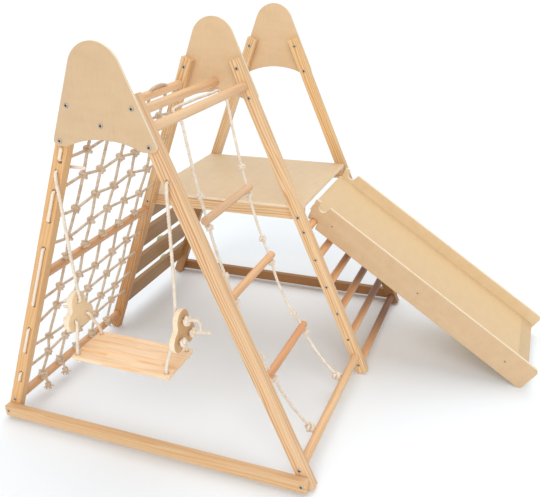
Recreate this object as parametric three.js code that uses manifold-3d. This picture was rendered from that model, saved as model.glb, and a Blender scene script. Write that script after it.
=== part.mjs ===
// A wooden climbing set for small children: three A-frames in a row, with a rope net and a rope ladder
// between frames A and B, a platform with rungs, a climbing wall and a hook-on slide between frames B and C,
// and a plank swing hung from frame A.
// Millimetres, Z up. X runs across a frame (the slide is on +X), Y runs from frame A to frame C.
import * as THREE from "three";
import { mergeVertices } from "three/addons/utils/BufferGeometryUtils.js";
import Module from "manifold-3d";

const wasm = await Module();
wasm.setup();

// Frames
const LEG_WIDTH = 38;
const LEG_DEPTH = 30;
const LEG_FLOOR_X = 526.6; // distance of a leg's centre line from the middle, at floor level
const LEG_LEAN = 0.4071; // how far that line moves in for each millimetre up
const LEG_TOP = 1088;
const FOOT_TRIM = 2.5; // height cut off the square leg end so that it stands flat
const FRAME_A = 0; // front face of each frame's legs
const FRAME_B = 601;
const FRAME_C = 1143;
const EASED = 1.6; // chamfer on the long edges of the timber
const GAP = 0.3; // between pieces that touch

// Top panels and base bars
const PANEL_THICKNESS = 9;
const PANEL_TOP = 1217;
const PANEL_BOTTOM = 955;
const PANEL_ARCH_HALF = 112;
const PANEL_ARCH_RISE = 24;
const BAR_HALF_LENGTH = 528;
const BAR_HEIGHT = 40;
const BAR_DEPTH = 25;
const BAR_BOTTOM = 12.3;
const BOLT_Z = 35;

// Dowels
const DOWEL_RADIUS = 14;
const DOWEL_SIDES = 20;
const ROPE_SIDES = 6;
const HOLE_SIDES = 10;
const MONKEY_BAR_Z = 1006;
const CENTRE_BAR_Z = 1013;
const LOW_DOWEL_Z = 68;
const NET_DOWEL_Z = 544;
const FIRST_RUNG_Z = 36;
const RUNG_PITCH = 98;

// Platform and climbing wall
const DECK_TOP = 608;
const DECK_THICKNESS = 12;
const DECK_HALF_LENGTH = 298;
const APRON_HEIGHT = 40;
const APRON_DEPTH = 30;
const BOARD_THICKNESS = 16; // flush with the legs' outer sides
const BOARD_HEIGHT = 90; // measured along the slope
const BOARD_PITCH = 132; // between the boards' middles, measured upright
const FIRST_BOARD_Z = 126;

// Slide, drawn in its own plane: "along" runs down the slope from the hook, "up" is square to it
const SLIDE_PITCH = THREE.MathUtils.degToRad(34.68);
const SLIDE_THICKNESS = 12;
const SLIDE_Y = 697; // outer face of the near side
const SLIDE_WIDTH = 390;
const SLIDE_LOW = -16; // lower edge of the side, from the hook rung's centre
const SLIDE_HIGH = 83;
const SLIDE_START = -38;
const SLIDE_END = 912;
const SLIDE_STRIP_START = 855;
const SLIDE_BED_END = 901;
const SLIDE_CORNER = 16;
const HOOK_RADIUS = 15.6;
const HOOK_LIP = 20; // where the hook's far wall meets the edge
const HOOK_TOE = 3; // height of the short jaw's tip

// Swing
const SWING_Y = -8;
const SWING_HOLE_Z = 882;
const SWING_PIVOT_Z = 815; // the ropes are clear of the legs below this
const SWING_ROPE_RADIUS = 5;
const SIDE_PLATE_X = 170;
const SIDE_PLATE_Z = 469;
const SIDE_PLATE_THICKNESS = 18;
const SIDE_PLATE_LOBE = 31; // radius of a lobe, centred on its rope hole
const SIDE_PLATE_WAIST = 20; // radius of the hollow between two lobes
const SEAT_LENGTH = 318;
const SEAT_DEPTH = 144;
const SEAT_THICKNESS = 13;
const SEAT_TOP = 359;
const SEAT_HOLE_INSET = 14; // from the seat's edges to the middle of a rope hole

// Rope ladder
const LADDER_FRONT = 165;
const LADDER_BACK = 446;
const LADDER_HOLE_TILT = THREE.MathUtils.degToRad(40); // of the holes through the monkey bar
const LADDER_ROPE_RADIUS = 4.5;
const LADDER_RUNG_RADIUS = 12.5;
const LADDER_RUNG_OVERHANG = 16;
const LADDER_RUNGS = [
  [181, 722],
  [249, 497],
  [356, 256],
]; // centres, x and z

// Climbing net
const NET_ROPE_RADIUS = 4;
const NET_INSET = 5; // the rope holes are this far inside the legs' centre line
const NET_ROWS = [911, 824, 734, 646, 450, 360, 270, 183];
const NET_COLUMNS = [123, 217, 311, 407, 507];
const LACED_ON_A = [
  [1, 2],
  [3, 4],
  [5, 6],
]; // rows joined along frame A's leg; the others are joined along frame B's
const LACED_ON_B = [
  [0, 1],
  [2, 3],
  [4, 5],
  [6, 7],
];

const LEAN = Math.atan(LEG_LEAN);
const PLATE_BACK_Y = FRAME_B + LEG_DEPTH;
const HOOK_Z = FIRST_RUNG_Z + 5 * RUNG_PITCH;
const legX = (z) => LEG_FLOOR_X - LEG_LEAN * z;
const vec = (x, y, z) => new THREE.Vector3(x, y, z);
const SIDES = [
  ["left", -1],
  ["right", 1],
];

const wood = (color, roughness) => new THREE.MeshStandardMaterial({ color, roughness, metalness: 0 });
const materials = {
  pine: wood(0xe9bd82, 0.6),
  plywood: wood(0xe6cba1, 0.55),
  dowel: wood(0xe0a878, 0.55),
  board: wood(0xc9a27a, 0.65),
  swingWood: wood(0xf0c48a, 0.6),
  rope: wood(0xeadfcd, 0.95),
  netRope: wood(0xc7ad8c, 0.95),
  hold: wood(0x8fb04a, 0.5),
  steel: new THREE.MeshStandardMaterial({ color: 0x8d8f92, roughness: 0.35, metalness: 1 }),
};

// ---- Solids ----

function solid(geometry) {
  const bare = geometry.clone();
  bare.deleteAttribute("normal");
  bare.deleteAttribute("uv");
  const merged = mergeVertices(bare, 1e-4);
  const vertProperties = new Float32Array(merged.attributes.position.array);
  const triVerts = new Uint32Array(merged.index.array);
  return new wasm.Manifold(new wasm.Mesh({ numProp: 3, vertProperties, triVerts }));
}

function geometryOf(manifold) {
  const { vertProperties, triVerts } = manifold.getMesh();
  const geometry = new THREE.BufferGeometry();
  geometry.setAttribute("position", new THREE.BufferAttribute(vertProperties, 3));
  geometry.setIndex(new THREE.BufferAttribute(triVerts, 1));
  geometry.computeVertexNormals();
  return geometry;
}

// A round bar from one point to another.
function rod(from, to, radius, sides = DOWEL_SIDES) {
  const geometry = new THREE.CylinderGeometry(radius, radius, from.distanceTo(to), sides);
  const turn = new THREE.Quaternion().setFromUnitVectors(vec(0, 1, 0), to.clone().sub(from).normalize());
  return geometry.applyQuaternion(turn).translate(...from.clone().lerp(to, 0.5).toArray());
}

const knot = (at, radius) => new THREE.IcosahedronGeometry(radius, 1).translate(...at.toArray());
const joined = (geometries) => geometries.map(solid).reduce((all, next) => all.add(next));
const cut = (body, tools) => tools.map(solid).reduce((rest, tool) => rest.subtract(tool), body);

// A rope through straight stretches that run a little past each bend, with optional knots.
function rope(points, radius, knots = [], knotRadius = radius * 2) {
  const overrun = radius * 0.4;
  const pieces = points.slice(1).map((end, i) => {
    const start = points[i];
    const extra = end.clone().sub(start).setLength(overrun);
    const from = i > 0 ? start.clone().sub(extra) : start;
    const to = i < points.length - 2 ? end.clone().add(extra) : end;
    return rod(from, to, radius, ROPE_SIDES);
  });
  knots.forEach((p) => pieces.push(knot(p, knotRadius)));
  return joined(pieces);
}

// An outline drawn in X and Z, given a thickness along Y from yFront, with eased edges on both faces.
function upright(shape, yFront, thickness, eased = EASED, curveSegments = 8) {
  const geometry = new THREE.ExtrudeGeometry(shape, {
    depth: thickness - 2 * eased,
    bevelEnabled: eased > 0,
    bevelThickness: eased,
    bevelSize: eased,
    bevelOffset: -eased,
    bevelSegments: 1,
    curveSegments,
  });
  return geometry.rotateX(Math.PI / 2).translate(0, yFront + thickness - eased, 0);
}

function outline(points) {
  return new THREE.Shape(points.map(([x, z]) => new THREE.Vector2(x, z)));
}

// A rectangle centred on (x, z), as long as "length" at the given angle to X.
function slanted(x, z, length, height, angle) {
  const along = new THREE.Vector2(Math.cos(angle), Math.sin(angle)).multiplyScalar(length / 2);
  const up = new THREE.Vector2(-Math.sin(angle), Math.cos(angle)).multiplyScalar(height / 2);
  const corner = (a, u) => new THREE.Vector2(x, z).addScaledVector(along, a).addScaledVector(up, u);
  return new THREE.Shape([corner(-1, -1), corner(1, -1), corner(1, 1), corner(-1, 1)]);
}

const root = new THREE.Group();
function add(name, shape, material) {
  const mesh = new THREE.Mesh(shape.isBufferGeometry ? shape : geometryOf(shape), material);
  mesh.name = name;
  root.add(mesh);
}

// ---- Frames ----

// A leg on +X, square-cut at both ends, with its foot trimmed level with the floor.
function legOutline(side) {
  const halfAcross = LEG_WIDTH / 2 / Math.cos(LEAN);
  const endZ = Math.sin(LEAN) * (LEG_WIDTH / 2);
  const footZ = endZ - FOOT_TRIM;
  const end = (z, k) => [legX(z) + (k * Math.cos(LEAN) * LEG_WIDTH) / 2, z + k * endZ];
  const toeX = end(footZ, -1)[0] + FOOT_TRIM / Math.tan(LEAN);
  const points = [[legX(0) - halfAcross, 0], [toeX, 0], end(footZ, 1), end(LEG_TOP, 1), end(LEG_TOP, -1)];
  const mirrored = points.map(([x, z]) => [side * x, z]);
  return outline(side < 0 ? mirrored.reverse() : mirrored);
}

const crosswise = (x, z, y0, y1, radius, sides = HOLE_SIDES) =>
  rod(vec(x, y0, z), vec(x, y1, z), radius, sides);
const netX = (z) => -(legX(z) - NET_INSET);

function legHoles(frame, side) {
  const through = [frame - 5, frame + LEG_DEPTH + 5];
  const holes = [];
  if (frame === FRAME_A) holes.push(crosswise(side * legX(SWING_HOLE_Z), SWING_HOLE_Z, ...through, 6.5));
  if (frame !== FRAME_C && side < 0) {
    NET_ROWS.forEach((z) => holes.push(crosswise(netX(z), z, ...through, NET_ROPE_RADIUS + 1.2, 8)));
  }
  if (frame === FRAME_A) holes.push(crosswise(side * legX(BOLT_Z), BOLT_Z, frame - 5, frame + 20, 4));
  if (frame === FRAME_C) holes.push(crosswise(side * legX(BOLT_Z), BOLT_Z, frame + 10, frame + 40, 4));
  return holes;
}

// The domed panel that ties a pair of legs together, with an arch cut into its lower edge.
function topPanelOutline() {
  const halfAcross = LEG_WIDTH / 2 / Math.cos(LEAN);
  const edgeX = (z) => legX(z) + halfAcross;
  // The dome touches both sloping sides, so its radius follows from its top.
  const domeZ = (PANEL_TOP - edgeX(0) * Math.cos(LEAN)) / (1 - Math.sin(LEAN));
  const radius = PANEL_TOP - domeZ;
  const corner = 14;
  const cornerZ = PANEL_BOTTOM + corner;
  const cornerX = edgeX(cornerZ) - corner / Math.cos(LEAN);
  const archRadius = (PANEL_ARCH_HALF ** 2 + PANEL_ARCH_RISE ** 2) / (2 * PANEL_ARCH_RISE);
  const archTurn = Math.asin(PANEL_ARCH_HALF / archRadius);
  const archZ = PANEL_BOTTOM + PANEL_ARCH_RISE - archRadius;
  const shape = new THREE.Shape();
  shape.absarc(cornerX, cornerZ, corner, -Math.PI / 2, LEAN, false);
  shape.absarc(0, domeZ, radius, LEAN, Math.PI - LEAN, false);
  shape.absarc(-cornerX, cornerZ, corner, Math.PI - LEAN, (3 * Math.PI) / 2, false);
  shape.absarc(0, archZ, archRadius, Math.PI / 2 + archTurn, Math.PI / 2 - archTurn, true);
  return shape;
}

function barOutline() {
  const round = 6;
  const x = BAR_HALF_LENGTH - round;
  const low = BAR_BOTTOM + round;
  const high = BAR_BOTTOM + BAR_HEIGHT - round;
  const shape = new THREE.Shape();
  shape.absarc(x, low, round, -Math.PI / 2, 0, false);
  shape.absarc(x, high, round, 0, Math.PI / 2, false);
  shape.absarc(-x, high, round, Math.PI / 2, Math.PI, false);
  shape.absarc(-x, low, round, Math.PI, (3 * Math.PI) / 2, false);
  return shape;
}

// A domed-head bolt whose head sits on the face at y and whose shank runs towards "inward".
function bolt(x, z, y, inward) {
  const head = crosswise(x, z, y - inward * (GAP + 3), y - inward * GAP, 8, 14);
  const socket = crosswise(x, z, y - inward * (GAP + 4), y - inward * (GAP + 1.5), 3, 6);
  const shank = crosswise(x, z, y - inward * (GAP + 1), y + inward * (BAR_DEPTH + 17), 3.4, 8);
  return cut(joined([head, shank]), [socket]);
}

function addFrame(letter, frame) {
  SIDES.forEach(([sideName, side]) => {
    const leg = solid(upright(legOutline(side), frame, LEG_DEPTH));
    add(`leg_${letter}_${sideName}`, cut(leg, legHoles(frame, side)), materials.pine);
  });
  const panelFront = frame === FRAME_A ? frame - GAP - PANEL_THICKNESS : frame + LEG_DEPTH + GAP;
  const panel = upright(topPanelOutline(), panelFront, PANEL_THICKNESS, 1, 7);
  add(`top_panel_${letter}`, solid(panel), materials.plywood);
}

function addBaseBar(letter, front, inward) {
  const outerFace = inward > 0 ? front : front + BAR_DEPTH;
  const boltX = legX(BOLT_Z);
  const holes = [-boltX, boltX].map((x) => crosswise(x, BOLT_Z, front - 5, front + BAR_DEPTH + 5, 4));
  const bar = solid(upright(barOutline(), front, BAR_DEPTH, 2, 2));
  add(`base_bar_${letter}`, cut(bar, holes), materials.pine);
  SIDES.forEach(([sideName, side]) => {
    add(`base_bolt_${letter}_${sideName}`, bolt(side * boltX, BOLT_Z, outerFace, inward), materials.steel);
  });
}

addFrame("a", FRAME_A);
addFrame("b", FRAME_B);
addFrame("c", FRAME_C);
addBaseBar("a", FRAME_A - GAP - BAR_DEPTH, 1);
addBaseBar("c", FRAME_C + LEG_DEPTH + GAP, -1);

// ---- Dowels ----

const lengthwise = (x, z, y0, y1, radius = DOWEL_RADIUS) =>
  rod(vec(x, y0 + GAP, z), vec(x, y1 - GAP, z), radius, DOWEL_SIDES);
const bayOne = [FRAME_A + LEG_DEPTH, FRAME_B];
const bayTwo = [FRAME_B + LEG_DEPTH, FRAME_C];

// A point on the line of a slanting rope hole, "reach" above the middle of the right-hand monkey bar.
function ladderTop(y, reach) {
  const inward = reach * Math.sin(LADDER_HOLE_TILT);
  const up = reach * Math.cos(LADDER_HOLE_TILT);
  return vec(legX(MONKEY_BAR_Z) - inward, y, MONKEY_BAR_Z + up);
}

add("monkey_bar_left", lengthwise(-legX(MONKEY_BAR_Z), MONKEY_BAR_Z, ...bayOne), materials.dowel);
add("monkey_bar_centre", lengthwise(0, CENTRE_BAR_Z, FRAME_A, PLATE_BACK_Y), materials.dowel);
const ladderBarHoles = [LADDER_FRONT, LADDER_BACK].map((y) =>
  rod(ladderTop(y, 30), ladderTop(y, -30), LADDER_ROPE_RADIUS + 1.5, HOLE_SIDES),
);
const ladderBar = solid(lengthwise(legX(MONKEY_BAR_Z), MONKEY_BAR_Z, ...bayOne));
add("monkey_bar_right", cut(ladderBar, ladderBarHoles), materials.dowel);
add("net_middle_dowel", lengthwise(-legX(NET_DOWEL_Z), NET_DOWEL_Z, ...bayOne), materials.dowel);
add("net_bottom_dowel", lengthwise(-legX(LOW_DOWEL_Z), LOW_DOWEL_Z, ...bayOne), materials.dowel);
add("ladder_bottom_dowel", lengthwise(legX(LOW_DOWEL_Z), LOW_DOWEL_Z, ...bayOne), materials.dowel);
for (let i = 0; i < 5; i++) {
  const z = FIRST_RUNG_Z + i * RUNG_PITCH;
  add(`rung_${i + 1}`, lengthwise(legX(z), z, ...bayTwo), materials.dowel);
}
add("hook_rung", lengthwise(legX(HOOK_Z), HOOK_Z, ...bayTwo), materials.dowel);

// ---- Platform ----

const deckBottom = DECK_TOP - DECK_THICKNESS;
const deckSides = [bayTwo[0] + GAP, bayTwo[1] - GAP];
const deckOutline = outline([
  [-DECK_HALF_LENGTH, deckBottom],
  [DECK_HALF_LENGTH, deckBottom],
  [DECK_HALF_LENGTH, DECK_TOP],
  [-DECK_HALF_LENGTH, DECK_TOP],
]);
const apronOutline = outline([
  [-DECK_HALF_LENGTH, deckBottom - GAP - APRON_HEIGHT],
  [DECK_HALF_LENGTH, deckBottom - GAP - APRON_HEIGHT],
  [DECK_HALF_LENGTH, deckBottom - GAP],
  [-DECK_HALF_LENGTH, deckBottom - GAP],
]);
add("platform_deck", upright(deckOutline, deckSides[0], deckSides[1] - deckSides[0], 1), materials.plywood);
add("platform_apron_front", upright(apronOutline, deckSides[0], APRON_DEPTH), materials.pine);
add("platform_apron_back", upright(apronOutline, deckSides[1] - APRON_DEPTH, APRON_DEPTH), materials.pine);

// ---- Climbing wall ----

const wallOutward = vec(-Math.cos(LEAN), 0, Math.sin(LEAN));

// A hold is a low dome with a lip, set on the outer face of its board.
function hold(z, y) {
  const profile = [
    [0, 0],
    [30, 0],
    [33, 6],
    [29, 16],
    [20, 25],
    [9, 30],
    [0, 31],
  ];
  const dome = new THREE.LatheGeometry(profile.map(([r, h]) => new THREE.Vector2(r, h)), 14);
  const turn = new THREE.Quaternion().setFromUnitVectors(vec(0, 1, 0), wallOutward);
  const seat = vec(-legX(z), y, z).addScaledVector(wallOutward, LEG_WIDTH / 2 + GAP);
  return solid(dome.applyQuaternion(turn).translate(...seat.toArray()));
}

for (let i = 0; i < 4; i++) {
  const z = FIRST_BOARD_Z + i * BOARD_PITCH;
  const centre = vec(-legX(z), 0, z).addScaledVector(wallOutward, (LEG_WIDTH - BOARD_THICKNESS) / 2);
  const shape = slanted(centre.x, centre.z, BOARD_HEIGHT, BOARD_THICKNESS, Math.PI / 2 - LEAN);
  const board = upright(shape, deckSides[0], deckSides[1] - deckSides[0]);
  add(`climbing_board_${i + 1}`, board, materials.board);
}
const HOLDS = [
  [132, 990],
  [272, 890],
  [390, 770],
  [388, 1050],
]; // height and distance along the wall
HOLDS.forEach(([z, y], i) => add(`climbing_hold_${i + 1}`, hold(z, y), materials.hold));

// ---- Slide ----

const hookX = legX(HOOK_Z);
const slidePoint = (along, up) => [
  hookX + along * Math.cos(SLIDE_PITCH) + up * Math.sin(SLIDE_PITCH),
  HOOK_Z - along * Math.sin(SLIDE_PITCH) + up * Math.cos(SLIDE_PITCH),
];

// Points on an arc in the slide's plane, turning from one angle to another.
function slideArc(along, up, radius, from, to, steps = 5) {
  return Array.from({ length: steps + 1 }, (_, i) => {
    const angle = from + ((to - from) * i) / steps;
    return slidePoint(along + radius * Math.cos(angle), up + radius * Math.sin(angle));
  });
}

// The side is the same from above and below, so that the slide can hook on either way up.
function slideSideOutline() {
  const quarter = Math.PI / 2;
  const middle = (SLIDE_LOW + SLIDE_HIGH) / 2;
  const upperHook = 2 * middle;
  const end = SLIDE_END - SLIDE_CORNER;
  return outline([
    slidePoint(HOOK_LIP, SLIDE_LOW),
    ...slideArc(end, SLIDE_LOW + SLIDE_CORNER, SLIDE_CORNER, -quarter, 0),
    ...slideArc(end, SLIDE_HIGH - SLIDE_CORNER, SLIDE_CORNER, 0, quarter),
    slidePoint(HOOK_LIP, SLIDE_HIGH),
    ...slideArc(0, upperHook, HOOK_RADIUS, 0, -2 * quarter, 8),
    slidePoint(-HOOK_RADIUS - 3, SLIDE_HIGH - 3),
    slidePoint(SLIDE_START + 4, SLIDE_HIGH - 3),
    slidePoint(SLIDE_START, SLIDE_HIGH - 8),
    slidePoint(-26, HOOK_TOE + 3),
    slidePoint(-HOOK_RADIUS - 5, HOOK_TOE - 2),
    ...slideArc(0, 0, HOOK_RADIUS, 2 * quarter, 0, 8),
  ]);
}

const bedMiddle = (SLIDE_LOW + SLIDE_HIGH) / 2;
function slideBoard(start, end) {
  const half = SLIDE_THICKNESS / 2;
  return outline([
    slidePoint(start, bedMiddle - half),
    slidePoint(end, bedMiddle - half),
    slidePoint(end, bedMiddle + half),
    slidePoint(start, bedMiddle + half),
  ]);
}
const bedFront = SLIDE_Y + SLIDE_THICKNESS + GAP;
const bedWidth = SLIDE_WIDTH - 2 * (SLIDE_THICKNESS + GAP);
const slideFar = SLIDE_Y + SLIDE_WIDTH - SLIDE_THICKNESS;
add("slide_side_near", upright(slideSideOutline(), SLIDE_Y, SLIDE_THICKNESS, 1), materials.plywood);
add("slide_side_far", upright(slideSideOutline(), slideFar, SLIDE_THICKNESS, 1), materials.plywood);
const bedOutline = slideBoard(SLIDE_START, SLIDE_STRIP_START - GAP);
const stripOutline = slideBoard(SLIDE_STRIP_START, SLIDE_BED_END);
add("slide_bed", upright(bedOutline, bedFront, bedWidth, 0), materials.plywood);
add("slide_end_strip", upright(stripOutline, bedFront, bedWidth, 0), materials.plywood);

// ---- Swing ----

const plateHoles = [
  [0, 28],
  [-27, -24],
  [27, -24],
]; // along Y and Z from the plate's middle
const seatHole = { x: SEAT_LENGTH / 2 - SEAT_HOLE_INSET, y: SEAT_DEPTH / 2 - SEAT_HOLE_INSET };
const innerX = SIDE_PLATE_X - SIDE_PLATE_THICKNESS / 2 - SWING_ROPE_RADIUS - 1;
const knotX = SIDE_PLATE_X + SIDE_PLATE_THICKNESS / 2 + 9.5;
const plateX = [SIDE_PLATE_X - SIDE_PLATE_THICKNESS / 2, SIDE_PLATE_X + SIDE_PLATE_THICKNESS / 2];

// A three-lobed outline, drawn in Y and Z about the plate's middle: a round lobe about each hole, and a hollow
// between each two, tangent to both.
function trefoil() {
  const centres = plateHoles.map(([y, z]) => new THREE.Vector2(y, z));
  const shape = new THREE.Shape();
  const hollows = centres.map((from, i) => {
    const to = centres[(i + 1) % centres.length];
    const half = to.clone().sub(from).multiplyScalar(0.5);
    const reach = Math.sqrt((SIDE_PLATE_LOBE + SIDE_PLATE_WAIST) ** 2 - half.lengthSq());
    const outward = new THREE.Vector2(half.y, -half.x).setLength(reach);
    return from.clone().add(half).add(outward);
  });
  centres.forEach((centre, i) => {
    const before = hollows[(i + centres.length - 1) % centres.length];
    const after = hollows[i];
    const next = centres[(i + 1) % centres.length];
    const turnTo = (from, to) => to.clone().sub(from).angle();
    shape.absarc(centre.x, centre.y, SIDE_PLATE_LOBE, turnTo(centre, before), turnTo(centre, after), false);
    shape.absarc(after.x, after.y, SIDE_PLATE_WAIST, turnTo(after, centre), turnTo(after, next), true);
  });
  return shape;
}

function sidePlate(side) {
  const plate = new THREE.ExtrudeGeometry(trefoil(), {
    depth: SIDE_PLATE_THICKNESS - 2,
    bevelThickness: 1,
    bevelSize: 1,
    bevelOffset: -1,
    bevelSegments: 1,
    curveSegments: 7,
  });
  plate.applyMatrix4(new THREE.Matrix4().makeBasis(vec(0, 1, 0), vec(0, 0, 1), vec(1, 0, 0)));
  plate.translate(side * SIDE_PLATE_X - SIDE_PLATE_THICKNESS / 2 + 1, SWING_Y, SIDE_PLATE_Z);
  const holes = plateHoles.map(([y, z]) =>
    rod(
      vec(side * (plateX[0] - 9), SWING_Y + y, SIDE_PLATE_Z + z),
      vec(side * (plateX[1] + 9), SWING_Y + y, SIDE_PLATE_Z + z),
      SWING_ROPE_RADIUS + 1.2,
      HOLE_SIDES,
    ),
  );
  return cut(solid(plate), holes);
}

function seat() {
  const shape = new THREE.Shape();
  const round = 6;
  const x = SEAT_LENGTH / 2 - round;
  const y = SEAT_DEPTH / 2 - round;
  shape.absarc(x, -y, round, -Math.PI / 2, 0, false);
  shape.absarc(x, y, round, 0, Math.PI / 2, false);
  shape.absarc(-x, y, round, Math.PI / 2, Math.PI, false);
  shape.absarc(-x, -y, round, Math.PI, (3 * Math.PI) / 2, false);
  const board = new THREE.ExtrudeGeometry(shape, {
    depth: SEAT_THICKNESS - 2 * EASED,
    bevelThickness: EASED,
    bevelSize: EASED,
    bevelOffset: -EASED,
    bevelSegments: 1,
    curveSegments: 2,
  });
  board.translate(0, SWING_Y, SEAT_TOP - SEAT_THICKNESS + EASED);
  const holes = [-1, 1].flatMap((sx) =>
    [-1, 1].map((sy) => {
      const above = vec(sx * seatHole.x, SWING_Y + sy * seatHole.y, SEAT_TOP + 9);
      const below = above.clone().setZ(SEAT_TOP - SEAT_THICKNESS - 9);
      return rod(above, below, SWING_ROPE_RADIUS + 1.2, HOLE_SIDES);
    }),
  );
  return cut(solid(board), holes);
}

add("swing_seat", seat(), materials.swingWood);
SIDES.forEach(([sideName, side]) => {
  const legHoleX = side * legX(SWING_HOLE_Z);
  const pivotX = side * 166;
  const anchor = [
    vec(legHoleX, LEG_DEPTH + 12, SWING_HOLE_Z),
    vec(legHoleX, SWING_Y + 4, SWING_HOLE_Z),
    vec(legHoleX, SWING_Y, SWING_HOLE_Z - 9),
    vec(pivotX, SWING_Y, SWING_PIVOT_Z + GAP),
  ];
  add(`swing_anchor_${sideName}`, rope(anchor, SWING_ROPE_RADIUS, [anchor[0]]), materials.rope);
  add(`swing_side_${sideName}`, sidePlate(side), materials.plywood);

  const topHole = vec(side * innerX, SWING_Y + plateHoles[0][0], SIDE_PLATE_Z + plateHoles[0][1]);
  const topKnot = topHole.clone().setX(side * knotX);
  const mainRope = [vec(pivotX, SWING_Y, SWING_PIVOT_Z - SWING_ROPE_RADIUS), topHole, topKnot];
  add(`swing_rope_${sideName}`, rope(mainRope, SWING_ROPE_RADIUS, [topKnot], 9), materials.rope);

  plateHoles.slice(1).forEach(([y, z]) => {
    const where = y < 0 ? "front" : "back";
    const seatY = SWING_Y + Math.sign(y) * seatHole.y;
    const outerKnot = vec(side * knotX, SWING_Y + y, SIDE_PLATE_Z + z);
    const under = vec(side * seatHole.x, seatY, SEAT_TOP - SEAT_THICKNESS - 9);
    const points = [
      outerKnot,
      vec(side * innerX, SWING_Y + y, SIDE_PLATE_Z + z),
      vec(side * seatHole.x, seatY, SEAT_TOP + 8),
      under,
    ];
    const seatRope = rope(points, SWING_ROPE_RADIUS, [outerKnot, under], 9);
    add(`seat_rope_${where}_${sideName}`, seatRope, materials.rope);
  });
});

// ---- Rope ladder ----

// The rope's direction at a rung is the average of the two stretches that meet there.
const ladderEndZ = LOW_DOWEL_Z + DOWEL_RADIUS + LADDER_ROPE_RADIUS - 1;
const ladderEnd = [legX(LOW_DOWEL_Z) - 14, ladderEndZ];
const ladderStops = [[legX(MONKEY_BAR_Z), MONKEY_BAR_Z], ...LADDER_RUNGS, ladderEnd];
const ladderKnotDrop = LADDER_RUNG_RADIUS + 9;

function ladderRung([x, z], i) {
  const [before, after] = [ladderStops[i], ladderStops[i + 2]];
  const lean = vec(after[0] - before[0], 0, after[1] - before[1]).normalize().multiplyScalar(30);
  const y0 = LADDER_FRONT - LADDER_RUNG_OVERHANG;
  const y1 = LADDER_BACK + LADDER_RUNG_OVERHANG;
  const bar = solid(lengthwise(x, z, y0, y1, LADDER_RUNG_RADIUS));
  const holes = [LADDER_FRONT, LADDER_BACK].map((y) => {
    const middle = vec(x, y, z);
    return rod(middle.clone().sub(lean), middle.clone().add(lean), LADDER_ROPE_RADIUS + 2.5, HOLE_SIDES);
  });
  return cut(bar, holes);
}

function ladderRope() {
  const crown = DOWEL_RADIUS + LADDER_ROPE_RADIUS + 1;
  const [lastX, lastZ] = LADDER_RUNGS[2];
  const tie = vec(ladderEnd[0] - lastX, 0, ladderEnd[1] - lastZ).normalize();
  const descent = (y) => [
    ladderTop(y, crown),
    ladderTop(y, -DOWEL_RADIUS - 3),
    ...LADDER_RUNGS.map(([x, z]) => vec(x, y, z)),
    vec(lastX, y, lastZ).addScaledVector(tie, ladderKnotDrop),
  ];
  const knots = [LADDER_FRONT, LADDER_BACK].flatMap((y) =>
    LADDER_RUNGS.map(([x, z], i) => {
      const below = ladderStops[i + 2];
      const down = vec(below[0] - x, 0, below[1] - z).normalize();
      return vec(x, y, z).addScaledVector(down, ladderKnotDrop);
    }),
  );
  const points = [...descent(LADDER_FRONT).reverse(), ...descent(LADDER_BACK)];
  return rope(points, LADDER_ROPE_RADIUS, knots, 8.5);
}

function ladderTie(y) {
  const [x, z] = LADDER_RUNGS[2];
  const tie = vec(ladderEnd[0] - x, 0, ladderEnd[1] - z).normalize();
  const start = vec(x, y, z).addScaledVector(tie, ladderKnotDrop + 8.5 + GAP);
  const end = vec(ladderEnd[0], y, ladderEnd[1]);
  return rope([start, end], LADDER_ROPE_RADIUS);
}

add("ladder_rope", ladderRope(), materials.rope);
LADDER_RUNGS.forEach((centre, i) => add(`ladder_rung_${i + 1}`, ladderRung(centre, i), materials.dowel));
add("ladder_tie_front", ladderTie(LADDER_FRONT), materials.rope);
add("ladder_tie_back", ladderTie(LADDER_BACK), materials.rope);

// ---- Climbing net ----

// Rows run through holes in both legs and are laced to the next row along a leg's outer face. Columns hang
// from the left monkey bar to the middle dowel, and from there to the bottom dowel.
function net() {
  const faceA = FRAME_A - NET_ROPE_RADIUS - GAP;
  const faceB = FRAME_B + LEG_DEPTH + NET_ROPE_RADIUS + GAP;
  const tube = (a, b) => rod(a, b, NET_ROPE_RADIUS, 4);
  const pieces = NET_ROWS.map((z) => tube(vec(netX(z), faceA, z), vec(netX(z), faceB, z)));
  const lace = (pairs, y) =>
    pairs.forEach(([i, j]) => {
      const [high, low] = [NET_ROWS[i] + NET_ROPE_RADIUS, NET_ROWS[j] - NET_ROPE_RADIUS];
      pieces.push(tube(vec(netX(high), y, high), vec(netX(low), y, low)));
    });
  lace(LACED_ON_A, faceA);
  lace(LACED_ON_B, faceB);
  const reach = DOWEL_RADIUS + GAP + 2;
  const stretches = [
    [MONKEY_BAR_Z - reach, NET_DOWEL_Z + reach],
    [NET_DOWEL_Z - reach, LOW_DOWEL_Z + reach],
  ];
  NET_COLUMNS.forEach((y) =>
    stretches.forEach(([high, low]) => pieces.push(tube(vec(netX(high), y, high), vec(netX(low), y, low)))),
  );
  return joined(pieces);
}
add("climbing_net", net(), materials.netRope);

// The origin is on the floor, under the middle of the whole set.
const extent = new THREE.Box3().setFromObject(root);
const middle = extent.getCenter(vec(0, 0, 0));
root.children.forEach((mesh) => mesh.position.set(-middle.x, -middle.y, 0));

export default root;
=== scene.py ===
import math
import random

import bmesh
import bpy
from mathutils import Matrix, Vector, noise


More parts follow.
